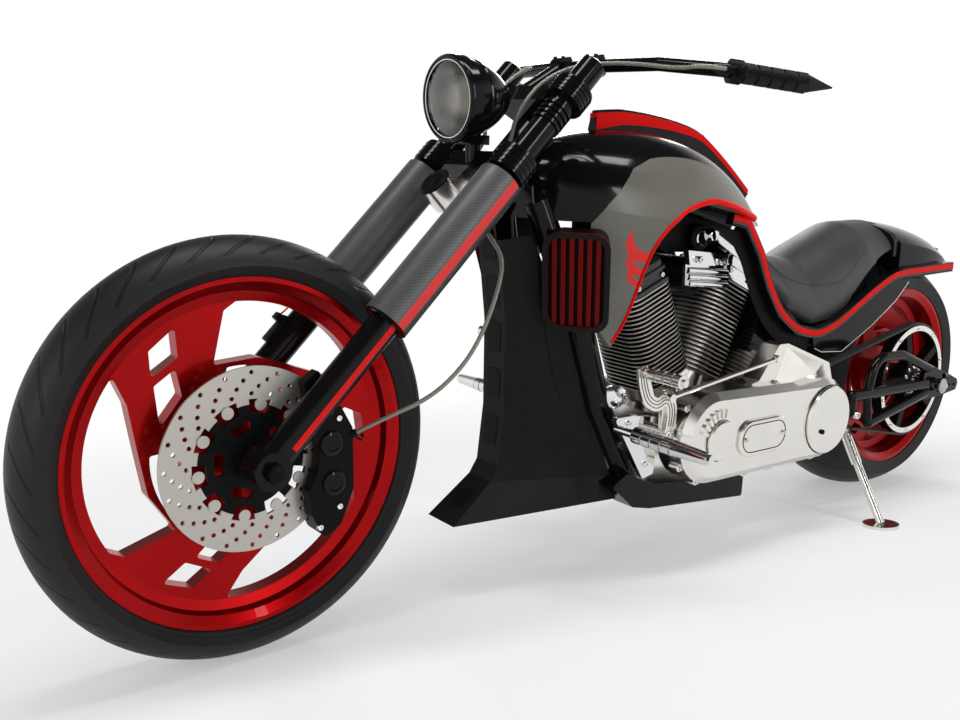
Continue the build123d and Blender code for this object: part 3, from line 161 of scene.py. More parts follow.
def side_hit(skin, x, z, side=1):
    """Where a level line from one side of the machine meets a surface, and the surface's direction there."""
    place, normal = skin.ray_cast(Vector((x, side * 600, z)), Y_WAY * -side)[:2]
    if place is None:
        return None
    return place, normal if normal.y * side > 0 else -normal


def side_curve(points):
    """Places along and heights of a smooth curve seen from the side, through pairs of them."""
    return [(p.x, p.z) for p in smooth_line([Vector((x, 0, z)) for x, z in points])]


def side_points(y, points):
    """Points at a distance to the left, from pairs of a place along and a height."""
    return [Vector((x, y, z)) for x, z in points]


def shade(colour, factor):
    """A colour made darker or lighter by a factor."""
    return tuple(c * factor for c in colour)


def show(thing):
    """Link a new object into the scene."""
    bpy.context.scene.collection.objects.link(thing)


class Shape:
    """A mesh under way, in millimetres of the upright machine."""

    def __init__(self):
        self.mesh = bmesh.new()

    def lathe(self, profile, base, way, sides=24, spin=0.0):
        """Add a turned form: the profile's pairs are distance out from the axis and distance along it."""
        turn = Vector(way).to_track_quat("Z", "Y")
        rings = []
        for out, along in profile:
            count = sides if out > 0.001 else 1
            angles = [spin + 2 * pi * side / count for side in range(count)]
            rings.append([self.mesh.verts.new(Vector(base) + turn @ Vector((out * cos(a), out * sin(a), along)))
                          for a in angles])
        for low, high in zip(rings, rings[1:]):
            for side in range(sides):
                corners = [low[side % len(low)], low[(side + 1) % len(low)],
                           high[(side + 1) % len(high)], high[side % len(high)]]
                corners = list(dict.fromkeys(corners))
                if len(corners) > 2:
                    self.mesh.faces.new(corners)

    def tube(self, points, radius, sides=10):
        """Add a round bar or wire through points, with flat ends: its radius is one number or one per point."""
        points = [Vector(p) for p in points]
        radii = radius if isinstance(radius, (list, tuple)) else [radius] * len(points)
        rings = []
        across = None
        for place, point in enumerate(points):
            way = (points[min(place + 1, len(points) - 1)] - points[max(place - 1, 0)]).normalized()
            across = way.orthogonal() if across is None else across - way * across.dot(way)
            across.normalize()
            other = way.cross(across)
            rings.append([self.mesh.verts.new(point + (across * cos(2 * pi * s / sides)
                                                       + other * sin(2 * pi * s / sides)) * radii[place])
                          for s in range(sides)])
        for low, high in zip(rings, rings[1:]):
            for s in range(sides):
                self.mesh.faces.new((low[s], low[(s + 1) % sides], high[(s + 1) % sides], high[s]))
        self.mesh.faces.new(rings[0][::-1])
        self.mesh.faces.new(rings[-1])

    def slab(self, outline, rise):
        """Add a flat plate: its outline's points, and how far and which way it is thick."""
        low = [self.mesh.verts.new(Vector(p)) for p in outline]
        high = [self.mesh.verts.new(Vector(p) + Vector(rise)) for p in outline]
        count = len(low)
        for s in range(count):
            self.mesh.faces.new((low[s], low[(s + 1) % count], high[(s + 1) % count], high[s]))
        self.mesh.faces.new(low[::-1])
        self.mesh.faces.new(high)

    def box(self, centre, size, along=X_WAY, up=Z_WAY):
        """Add a block with its length along one direction and its height along another."""
        along, up = Vector(along).normalized(), Vector(up).normalized()
        across = up.cross(along)
        corner = Vector(centre) - along * size[0] / 2 - across * size[1] / 2 - up * size[2] / 2
        self.slab((corner, corner + along * size[0], corner + along * size[0] + across * size[1],
                   corner + across * size[1]), up * size[2])

    def band(self, upper, lower, side_y, thick):
        """Add a flat band on the side of the machine, between two lines of points seen from that side."""
        side = 1 if side_y > 0 else -1
        for pair in zip(zip(upper, lower), zip(upper[1:], lower[1:])):
            (a, b), (c, d) = pair
            self.slab([Vector((x, side_y, z)) for x, z in (a, b, d, c)], Y_WAY * side * thick)

    def bolt(self, place, way, radius):
        """Add a cap head with a six-sided socket."""
        self.lathe([(radius, -1), (radius, radius * 0.8), (radius * 0.86, radius), (radius * 0.5, radius),
                    (radius * 0.48, radius * 0.45), (0, radius * 0.45)], place, way, sides=12)

    def nut(self, place, way, radius, high):
        """Add a six-sided nut with a domed end."""
        self.lathe([(radius, -1), (radius, high * 0.7)], place, way, sides=6)
        self.lathe([(radius, high * 0.7), (radius * 0.8, high * 0.9), (radius * 0.4, high), (0, high)], place, way,
                   sides=6)

    def place(self, name, body, finish, slot, smooth=40.0, bevel=0.0):
        """Turn the mesh into an object that rides on a body, with its finish."""
        bmesh.ops.recalc_face_normals(self.mesh, faces=self.mesh.faces)
        if bevel:
            sharp = [e for e in self.mesh.edges if len(e.link_faces) == 2 and e.calc_face_angle() > 0.6]
            bmesh.ops.bevel(self.mesh, geom=sharp, offset=bevel, segments=2, affect="EDGES", profile=0.5)
        self.mesh.transform(drawing)
        mesh = bpy.data.meshes.new(name)
        self.mesh.to_mesh(mesh)
        self.mesh.free()
        mesh.shade_smooth()
        mesh.set_sharp_from_angle(angle=radians(smooth))
        piece = bpy.data.objects.new(name, mesh)
        show(piece)
        mesh.materials.append(finish)
        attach(piece, body)
        return piece


class Value:
    """A socket of a finish, on which Python's operators add Math nodes."""

    def __init__(self, paint, socket):
        self.paint = paint
        self.socket = socket

    def math(self, operation, *others):
        """Add one Math node that takes this value first."""
        inputs = dict(enumerate((self, *others)))
        return self.paint.node("ShaderNodeMath", {"operation": operation}, inputs)

    def __add__(self, other):
        return self.math("ADD", other)

    def __sub__(self, other):
        return self.math("SUBTRACT", other)

    def __mul__(self, other):
        return self.math("MULTIPLY", other)

    def __truediv__(self, other):
        return self.math("DIVIDE", other)

    def __lt__(self, other):
        return self.math("LESS_THAN", other)

    def __gt__(self, other):
        return self.math("GREATER_THAN", other)

    def __abs__(self):
        return self.math("ABSOLUTE")

    def __neg__(self):
        return self.math("MULTIPLY", -1.0)

    def __rsub__(self, other):
        return -self + other

    __radd__ = __add__
    __rmul__ = __mul__

    def smooth(self, low, high):
        """Rise softly from 0 to 1 as this value goes from low to high."""
        return self.paint.node("ShaderNodeMapRange", {"interpolation_type": "SMOOTHSTEP"},
                               {"Value": self, "From Min": low, "From Max": high})

    def parts(self):
        """The X, Y and Z of a vector."""
        split = self.paint.node("ShaderNodeSeparateXYZ", {}, {"Vector": self})
        return [Value(self.paint, out) for out in split.socket.node.outputs]

    def dot(self, way):
        """This vector's reach along a direction."""
        return self.paint.node("ShaderNodeVectorMath", {"operation": "DOT_PRODUCT"}, {0: self, 1: tuple(way)},
                               "Value")


class Paint:
    """A finish with a Principled shader, whose nodes come from one method."""

    def __init__(self, name, colour, **settings):
        self.material = bpy.data.materials.new(name)
        self.material.use_nodes = True
        self.tree = self.material.node_tree
        self.shader = self.tree.nodes["Principled BSDF"]
        self.shader.inputs["Base Color"].default_value = (*colour[:3], 1)
        self.colour = (*colour[:3], 1)
        for socket, value in settings.items():
            self.shader.inputs[socket.replace("_", " ").title().replace("Ior", "IOR")].default_value = value

    @classmethod
    def on(cls, tree):
        """The same tools for a node tree that has no Principled shader, as the world's."""
        paint = cls.__new__(cls)
        paint.tree = tree
        return paint

    def node(self, kind, settings, inputs, output=0):
        """Add a node of a type, with its settings set first, and fill its sockets with values or links."""
        made = self.tree.nodes.new(kind)
        for setting, value in settings.items():
            setattr(made, setting, value)
        for socket, value in inputs.items():
            self.join(value, made.inputs[socket])
        return Value(self, made.outputs[output])

    def join(self, value, socket):
        """Link a value to a socket, or set a constant on it."""
        if isinstance(value, Value):
            self.tree.links.new(value.socket, socket)
        else:
            socket.default_value = value

    def here(self):
        """Place on the piece, in millimetres of the upright machine."""
        own = self.node("ShaderNodeTexCoord", {}, {}, "Object")
        offset = from_frame.to_translation()
        return self.node("ShaderNodeMapping", {}, {"Vector": own, "Location": tuple(offset),
                                                   "Rotation": (lean, 0, 0), "Scale": (1000, 1000, 1000)})

    def noise(self, size, detail=3.0, at=None):
        """Soft random values from 0 to 1, whose lumps are about a size in millimetres."""
        return self.node("ShaderNodeTexNoise", {}, {"Vector": at or self.here(), "Scale": 1 / size,
                                                    "Detail": detail})

    def mix(self, factor, low, high):
        """Blend two colours."""
        colours = [(*c[:3], 1) if not isinstance(c, Value) else c for c in (low, high)]
        return self.node("ShaderNodeMix", {"data_type": "RGBA"}, {0: factor, 6: colours[0], 7: colours[1]}, 2)

    def feed(self, **links):
        """Feed varying values to the shader."""
        for socket, value in links.items():
            self.join(value, self.shader.inputs[socket.replace("_", " ").title()])

    def bump(self, height, depth, strength=1.0):
        """Raise the surface by a height from 0 to 1, as deep as a number of millimetres."""
        self.feed(normal=self.node("ShaderNodeBump", {}, {"Height": height, "Distance": depth / 1000,
                                                          "Strength": strength}))

    def varied(self, size=60.0, change=0.15, rough=0.2, rough_change=0.06):
        """Give a plain finish the slight clouds and handling marks of a real one."""
        cloud = self.noise(size)
        dark = tuple(c * (1 - change) for c in self.colour[:3])
        light = tuple(min(1.0, c * (1 + change)) for c in self.colour[:3])
        self.feed(base_color=self.mix(cloud, dark, light), roughness=cloud * rough_change + rough)


def colours():
    """The colours chosen in the panel."""
    return bpy.context.scene.motorcycle_colours


def sizes():
    """The sizes chosen in the panel."""
    return bpy.context.scene.motorcycle_sizes


def black_gloss():
    """Deep black paint under a thin clear coat."""
    paint = Paint("black_gloss", colours().black, coat_weight=0.1, coat_roughness=0.02, ior=1.2)
    paint.varied(120, 0.2, 0.10, 0.05)
    paint.bump(paint.noise(1.6, 2.0), 0.02, 0.3)
    return paint.material


def black_satin():
    """Black powder coat with a faint orange peel."""
    paint = Paint("black_satin", (0.004, 0.004, 0.0042), ior=1.16)
    paint.varied(40, 0.3, 0.38, 0.12)
    paint.bump(paint.noise(0.9, 3.0), 0.05, 0.4)
    return paint.material


def red_gloss():
    """Candy red over metal, with slight clouds."""
    paint = Paint("red_gloss", colours().red, coat_weight=0.1, coat_roughness=0.04, metallic=0.85, ior=1.2)
    paint.varied(90, 0.25, 0.26, 0.08)
    paint.bump(paint.noise(1.2, 2.0), 0.02, 0.3)
    return paint.material


def stripe_red():
    """Plain bright red line paint."""
    paint = Paint("stripe_red", colours().stripe, ior=1.15)
    paint.varied(60, 0.1, 0.3, 0.08)
    paint.bump(paint.noise(1.2, 2.0), 0.02, 0.3)
    return paint.material


def chrome():
    """Plated metal with very shallow waves."""
    paint = Paint("chrome", colours().chrome, metallic=1.0)
    paint.varied(70, 0.04, 0.05, 0.05)
    paint.bump(paint.noise(25, 2.0), 0.05, 0.3)
    return paint.material


def polished_aluminium():
    """Cast aluminium polished by hand, slightly uneven."""
    paint = Paint("polished_aluminium", colours().aluminium, metallic=1.0)
    paint.varied(45, 0.06, 0.14, 0.10)
    paint.bump(paint.noise(14, 3.0), 0.08, 0.35)
    return paint.material


def brushed_steel():
    """Steel ground in rings about the front axle, on which a grain line runs at each radius."""
    paint = Paint("ground_steel", (0.62, 0.61, 0.6), metallic=0.9)
    x, y, z = paint.here().parts()
    radius = ((x - front_axle.x).math("POWER", 2.0) + (z - front_axle.z).math("POWER", 2.0)).math("SQRT")
    grain = paint.node("ShaderNodeTexNoise", {"noise_dimensions": "1D"}, {"W": radius, "Scale": 1.3, "Detail": 4.0})
    paint.feed(base_color=paint.mix(grain, (0.36, 0.34, 0.30), (0.56, 0.54, 0.50)), roughness=grain * 0.2 + 0.30)
    paint.bump(grain, 0.08, 0.5)
    return paint.material


def tyre_rubber(name, axle, shoulder, crown_edge, repeats):
    """Black rubber with swept grooves over the crown, coloured darker as painted shade, and fine rings on the side
    walls.
    """
    paint = Paint(name, colours().tyre, ior=1.3)
    x, y, z = paint.here().parts()
    x, z = x - axle.x, z - axle.z
    radius = (x * x + z * z).math("SQRT")
    turn = z.math("ARCTAN2", x) * (repeats / (2 * pi))
    out = abs(y) / crown_edge
    slant = turn + out * out * 1.6 + (y > 0.0) * 0.5
    slash = abs(slant.math("FRACT") - 0.5)
    tread = (1 - slash.smooth(0.05, 0.10)) * out.smooth(0.12, 0.16) * (1 - out.smooth(0.80, 0.86))
    cut = tread * radius.smooth(shoulder - 12, shoulder - 6)
    rings = (radius * 0.9).math("SINE") * 0.5 + 0.5
    wall = (1 - radius.smooth(shoulder - 16, shoulder - 8)) * rings
    cloud = paint.noise(30, 4.0)
    light = shade(colours().tyre, 1.7)
    worn = paint.mix(cloud, colours().tyre, light)
    # Painted shade: the grooves are coloured almost black, darker than the rubber round them.
    paint.feed(base_color=paint.mix(cut, worn, (0.002, 0.002, 0.002)), roughness=cloud * 0.15 + 0.42)
    paint.bump(wall * 0.18 - cut + cloud * 0.05, 2.4, 1.0)
    return paint.material


def finned_engine():
    """Black cylinders whose fins are bright along their cut edges."""
    paint = Paint("finned_engine", (0.012, 0.011, 0.01))
    x = paint.here().parts()[0]
    normal = paint.node("ShaderNodeNewGeometry", {}, {}, "Normal")
    front, rear = [abs(normal.dot(upright.to_3x3() @ bank_way(way))) for way in (1, -1)]
    rear_bank = x < CRANK.x
    facing = front * (1 - rear_bank) + rear * rear_bank
    edge = 1 - facing.smooth(0.25, 0.45)
    cloud = paint.noise(22, 3.0)
    edge = edge * (cloud * 0.6 + 0.45)
    paint.feed(base_color=paint.mix(edge, (0.006, 0.0055, 0.005), (0.58, 0.55, 0.50)), metallic=edge,
               roughness=0.5 - edge * 0.15)
    paint.bump(cloud, 0.2, 0.3)
    return paint.material


def fork_angle(paint):
    """Distance up the fork and angle round each leg, in degrees from straight behind towards outside."""
    here = paint.here()
    y = here.parts()[1]
    along = here.dot(steer_up) - front_axle.dot(steer_up)
    back = here.dot(steer_back) - front_axle.dot(steer_back)
    side = abs(y) - LEG_SPREAD
    return along, side.math("ARCTAN2", back) * (180 / pi)


def fork_stripe(angle):
    """Mask of the red stripe down the outer side of each leg."""
    half = sizes().stripe_turn / 2
    return 1 - abs(angle - STRIPE_MIDDLE).smooth(half - 0.6, half + 0.6)


def carbon_weave():
    """Twilled carbon cloth under lacquer, with the red stripe and the plain dark edge behind it."""
    paint = Paint("carbon_weave", colours().carbon, coat_weight=0.15, coat_roughness=0.3)
    along, angle = fork_angle(paint)
    tow = sizes().weave * 1000
    warp = along / tow
    weft = angle * (COVER_RADIUS * pi / 180) / tow
    twill = (warp.math("FLOOR") + weft.math("FLOOR")).math("MODULO", 4.0)
    over = (twill * twill).math("SQRT") < 1.5
    cloth = paint.mix(over, shade(colours().carbon, 0.8), shade(colours().carbon, 1.25))
    stripe = fork_stripe(angle)
    edge = (angle < 69.0) * (angle > -20.0)
    colour = paint.mix(edge, cloth, (0.024, 0.023, 0.021))
    cloud = paint.noise(50)
    paint.feed(base_color=paint.mix(stripe, colour, colours().stripe), roughness=cloud * 0.08 + 0.40)
    paint.bump(over, 0.15, 0.3)
    return paint.material


def striped_legs():
    """Gloss black fork legs with the covers' stripe carried on down them."""
    paint = Paint("striped_legs", colours().black, coat_weight=0.1, coat_roughness=0.02, ior=1.2)
    along, angle = fork_angle(paint)
    cloud = paint.noise(80)
    stripe = fork_stripe(angle) * (along > STRIPE_START)
    paint.feed(base_color=paint.mix(stripe, colours().black, colours().stripe), roughness=cloud * 0.06 + 0.14)
    paint.bump(paint.noise(1.6, 2.0), 0.02, 0.3)
    return paint.material


def rocker_metal():
    """Plated rocker boxes, of which the front one is black."""
    paint = Paint("rocker_metal", colours().chrome)
    x = paint.here().parts()[0]
    cloud = paint.noise(40)
    ahead = x > CRANK.x
    paint.feed(base_color=paint.mix(ahead, colours().chrome, (0.008, 0.008, 0.008)), metallic=1 - ahead,
               roughness=cloud * 0.1 + 0.08 + ahead * 0.25)
    paint.bump(cloud, 0.1, 0.3)
    return paint.material


def charcoal_panel():
    """Satin charcoal paint with three slim red crescents fanned one above the other, a plain ornament."""
    paint = Paint("charcoal_panel", colours().charcoal, coat_weight=0.2, coat_roughness=0.25, ior=1.35)
    x, y, z = paint.here().parts()
    cloud = paint.noise(70, 4.0)
    mark = None
    for centre_x, centre_z, outer, shift, rise in CRESCENTS:
        off_x, off_z = x - centre_x, z - centre_z
        outer_ring = (off_x * off_x + off_z * off_z).math("SQRT")
        in_x, in_z = x - (centre_x - shift), z - (centre_z + rise)
        inner_ring = (in_x * in_x + in_z * in_z).math("SQRT")
        low, high = outer - CRESCENT_EDGE, outer + CRESCENT_EDGE
        crescent = (1 - outer_ring.smooth(low, high)) * inner_ring.smooth(low, high)
        mark = crescent if mark is None else mark.math("MAXIMUM", crescent)
    plain = paint.mix(cloud, shade(colours().charcoal, 0.85), shade(colours().charcoal, 1.15))
    paint.feed(base_color=paint.mix(mark, plain, colours().stripe), roughness=cloud * 0.08 + 0.34)
    paint.bump(paint.noise(1.0, 2.0), 0.02, 0.3)
    return paint.material


def scoop_plastic():
    """Dark grey moulded plastic whose grilles are dark red behind the slats, with painted shade deeper inside."""
    paint = Paint("scoop_plastic", colours().plastic, ior=1.15)
    x, y, z = paint.here().parts()
    deep = ((x - SCOOP_MOUTH[0]) * SCOOP_WAY[0] + (abs(y) - SCOOP_MOUTH[1]) * SCOOP_WAY[1]
            - (z - SCOOP_MOUTH[2]) * SCOOP_WAY[2])
    inside = deep < -1.5
    # Painted shade: the grille's red turns almost black deeper inside the scoop.
    floor = deep.smooth(-5.0, -11.0)
    slat_with_painted_shade = paint.mix(floor, (0.12, 0.002, 0.002), (0.006, 0.0005, 0.0005))
    cloud = paint.noise(35, 4.0)
    plain = paint.mix(cloud, shade(colours().plastic, 0.8), shade(colours().plastic, 1.2))
    paint.feed(base_color=paint.mix(inside, plain, slat_with_painted_shade), roughness=cloud * 0.15 + 0.4)
    paint.bump(paint.noise(0.8, 3.0), 0.06, 0.5)
    return paint.material


def dam_plastic():
    """Black moulded plastic of the air dam."""
    paint = Paint("dam_plastic", (0.010, 0.010, 0.0095), ior=1.16)
    paint.varied(60, 0.4, 0.32, 0.14)
    paint.bump(paint.noise(0.9, 3.0), 0.05, 0.4)
    return paint.material


def saddle_leather():
    """Dark leather with a pebbled grain and paler rubbed places."""
    paint = Paint("saddle_leather", colours().leather, sheen_weight=0.08)
    grain = paint.node("ShaderNodeTexVoronoi", {"feature": "SMOOTH_F1"}, {"Vector": paint.here(), "Scale": 0.42})
    cloud = paint.noise(90, 4.0)
    light = shade(colours().leather, 1.7)
    paint.feed(base_color=paint.mix(cloud, colours().leather, light), roughness=cloud * 0.15 + 0.42)
    paint.bump(grain * 0.8 + paint.noise(6.0, 4.0) * 0.5, 0.5, 0.5)
    return paint.material


def thread():
    """Pale grey thread and line paint."""
    paint = Paint("thread", (0.09, 0.085, 0.08))
    paint.varied(2.0, 0.3, 0.6, 0.1)
    return paint.material


def black_rubber():
    """Soft black rubber with a fine grain."""
    paint = Paint("black_rubber", (0.008, 0.008, 0.008), ior=1.25)
    paint.varied(20, 0.4, 0.45, 0.15)
    paint.bump(paint.noise(0.8, 3.0), 0.06, 0.5)
    return paint.material


def toothed_belt():
    """Rubber drive belt with teeth across it, with painted shade between the teeth and a painted highlight on them.
    """
    paint = Paint("toothed_belt", (0.016, 0.016, 0.016), ior=1.4)
    x = paint.here().parts()[0]
    teeth = (x * (2 * pi / 12)).math("SINE").smooth(-0.3, 0.3)
    cloud = paint.noise(15)
    # Painted shade and highlight: the rubber is coloured darker between the teeth and lighter on their tops.
    paint.feed(base_color=paint.mix(teeth, (0.01, 0.01, 0.01), (0.028, 0.028, 0.027)), roughness=cloud * 0.1 + 0.5)
    paint.bump(teeth, 1.2, 0.8)
    return paint.material


def braided_hose(name, colour):
    """A hose whose braid is two sets of fine slanting strands."""
    paint = Paint(name, colour, metallic=0.3)
    x, y, z = paint.here().parts()
    strands = ((x + y + z) * 2.6).math("SINE") * ((x - y - z) * 2.6).math("SINE")
    braid = strands.smooth(-0.5, 0.5)
    paint.feed(base_color=paint.mix(braid, shade(colour, 0.6), colour), roughness=braid * -0.1 + 0.45)
    paint.bump(braid, 0.2, 0.5)
    return paint.material


def lamp_glass():
    """Clear glass with faint upright flutes."""
    paint = Paint("lamp_glass", (0.95, 0.95, 0.93), transmission_weight=1.0, ior=1.45)
    y = paint.here().parts()[1]
    flutes = (y * 0.9).math("SINE")
    cloud = paint.noise(30)
    paint.feed(roughness=cloud * 0.03 + 0.02)
    paint.bump(flutes, 0.15, 0.25)
    return paint.material


def dark_mirror():
    """The lamp's mirror bowl: dark metal with a slightly dull polish."""
    paint = Paint("dark_mirror", (0.22, 0.21, 0.18), metallic=1.0)
    paint.varied(25, 0.3, 0.16, 0.12)
    paint.bump(paint.noise(9.0, 2.0), 0.3, 0.4)
    return paint.material


def tail_red():
    """Ribbed red lens under a clear coat, with a painted highlight on each rib and painted shade between the ribs."""
    paint = Paint("tail_red", (0.35, 0.008, 0.006), coat_weight=1.0, coat_roughness=0.04)
    y = paint.here().parts()[1]
    ribs = (y * 0.8).math("SINE") * 0.5 + 0.5
    # Painted highlight and shade: the ribs' crests are coloured lighter red and their hollows darker.
    paint.feed(base_color=paint.mix(ribs, (0.22, 0.005, 0.004), (0.5, 0.012, 0.01)), roughness=ribs * 0.08 + 0.12)
    paint.bump(ribs, 0.4, 0.5)
    return paint.material


# CAD nodes that keep their shape and get a finish: the finish, and its nodes
NODE_FINISHES = (
    (black_gloss, ("lower_clamp", "upper_clamp", "fork_tubes", "headlight_shell", "handlebar", "frame_head",
                   "downtubes", "bottom_rails", "oil_tank", "tail", "body_rails", "tail_struts", "swingarm",
                   "fuel_tank")),
    (black_satin, ("hand_controls", "caliper", "disc_carrier", "rear_caliper", "rear_pulley", "intake",
                   "front_axle")),
    (red_gloss, ("front_rim", "rear_rim")),
    (chrome, ("air_cleaner", "exhausts", "foot_controls", "brake_pedal", "rear_axle")),
    (rocker_metal, ("rocker_boxes",)),
    (polished_aluminium, ("horn", "crankcase", "primary_case", "primary_covers", "transmission",
                          "shift_lever", "stand", "stand_bracket")),
    (brushed_steel, ("brake_disc", "rear_brake_disc", "disc_buttons")),
    (finned_engine, ("cylinders",)),
    (carbon_weave, ("fork_covers",)),
    (striped_legs, ("fork_legs",)),
    (charcoal_panel, ("tank_panels",)),
    (scoop_plastic, ("scoops",)),
    (dam_plastic, ("air_dam",)),
    (saddle_leather, ("seat",)),
    (black_rubber, ("grips",)),
    (toothed_belt, ("belt",)),
    (lamp_glass, ("headlight_lens",)),
    (tail_red, ("tail_lamp",)),
)
made = {}


def finish(maker, *options):
    """A finish, made once and shared."""
    key = (maker.__name__, *options)
    if key not in made:
        made[key] = maker(*options)
    return made[key]


class MotorcycleColours(bpy.types.PropertyGroup):
    """Colours of the motorcycle's finishes."""

    black: bpy.props.FloatVectorProperty(name="Black", description="Gloss black paint", subtype="COLOR",
                                         min=0, max=1, default=(0.004, 0.004, 0.0045))
    red: bpy.props.FloatVectorProperty(name="Red", description="Rims and stripes", subtype="COLOR",
                                       min=0, max=1, default=(0.34, 0.002, 0.003))
    stripe: bpy.props.FloatVectorProperty(name="Stripe", description="Bright red lines", subtype="COLOR",
                                          min=0, max=1, default=(0.66, 0.004, 0.003))
    charcoal: bpy.props.FloatVectorProperty(name="Charcoal", description="Tank panels", subtype="COLOR",
                                            min=0, max=1, default=(0.115, 0.11, 0.09))
    carbon: bpy.props.FloatVectorProperty(name="Carbon", description="Woven fork covers", subtype="COLOR",
                                          min=0, max=1, default=(0.05, 0.05, 0.052))
    chrome: bpy.props.FloatVectorProperty(name="Chrome", description="Plated parts", subtype="COLOR",
                                          min=0, max=1, default=(0.74, 0.74, 0.75))
    aluminium: bpy.props.FloatVectorProperty(name="Aluminium", description="Polished cases", subtype="COLOR",
                                             min=0, max=1, default=(0.78, 0.76, 0.71))
    leather: bpy.props.FloatVectorProperty(name="Leather", description="Saddle", subtype="COLOR",
                                           min=0, max=1, default=(0.022, 0.021, 0.021))
    tyre: bpy.props.FloatVectorProperty(name="Tyre", description="Tyre rubber", subtype="COLOR",
                                        min=0, max=1, default=(0.008, 0.008, 0.0082))
    plastic: bpy.props.FloatVectorProperty(name="Plastic", description="Side scoops", subtype="COLOR",
                                           min=0, max=1, default=(0.010, 0.0095, 0.0085))
    hose: bpy.props.FloatVectorProperty(name="Hose", description="Braided hoses", subtype="COLOR",
                                        min=0, max=1, default=(0.26, 0.24, 0.20))


class MotorcycleSizes(bpy.types.PropertyGroup):
    """Sizes of the trim that the finishes and small pieces follow."""

    stripe_turn: bpy.props.FloatProperty(name="Stripe", description="Width of the fork stripe, in degrees round it",
                                         default=25.0, min=2, max=60)
    weave: bpy.props.FloatProperty(name="Weave", description="Width of one carbon tow", default=0.0019,
                                   unit="LENGTH")
    stitch: bpy.props.FloatProperty(name="Stitch", description="Length of one saddle stitch", default=0.006,
                                    unit="LENGTH")
    bead: bpy.props.FloatProperty(name="Bead", description="Radius of the panel's red bead", default=0.0042,
                                  unit="LENGTH")
    puff: bpy.props.FloatProperty(name="Puff", description="How far the saddle's filling may push its cover",
                                  default=0.005, unit="LENGTH")


class MotorcycleStage(bpy.types.PropertyGroup):
    """The studio round the motorcycle."""

    camera: bpy.props.FloatVectorProperty(name="Camera", description="Place of the camera", subtype="XYZ",
                                          unit="LENGTH", default=(1.6361, 1.5705, 0.7211))
    yaw: bpy.props.FloatProperty(name="Yaw", description="Direction of the view round the upright", subtype="ANGLE",
                                 default=-2.225)
    pitch: bpy.props.FloatProperty(name="Pitch", description="Rise of the view", subtype="ANGLE", default=-0.1194)
    roll: bpy.props.FloatProperty(name="Roll", description="Turn of the view about itself", subtype="ANGLE",
                                  default=-0.0228)
    lens: bpy.props.FloatProperty(name="Lens", description="Focal length on a 36 mm frame, in millimetres",
                                  default=38.06, min=10, max=300)
    floor: bpy.props.FloatProperty(name="Floor", description="Reach of the floor each way", default=14.0,
                                   unit="LENGTH")
    fill: bpy.props.FloatProperty(name="Fill", description="Strength of the light from all round", default=0.34,
                                  min=0, max=4)


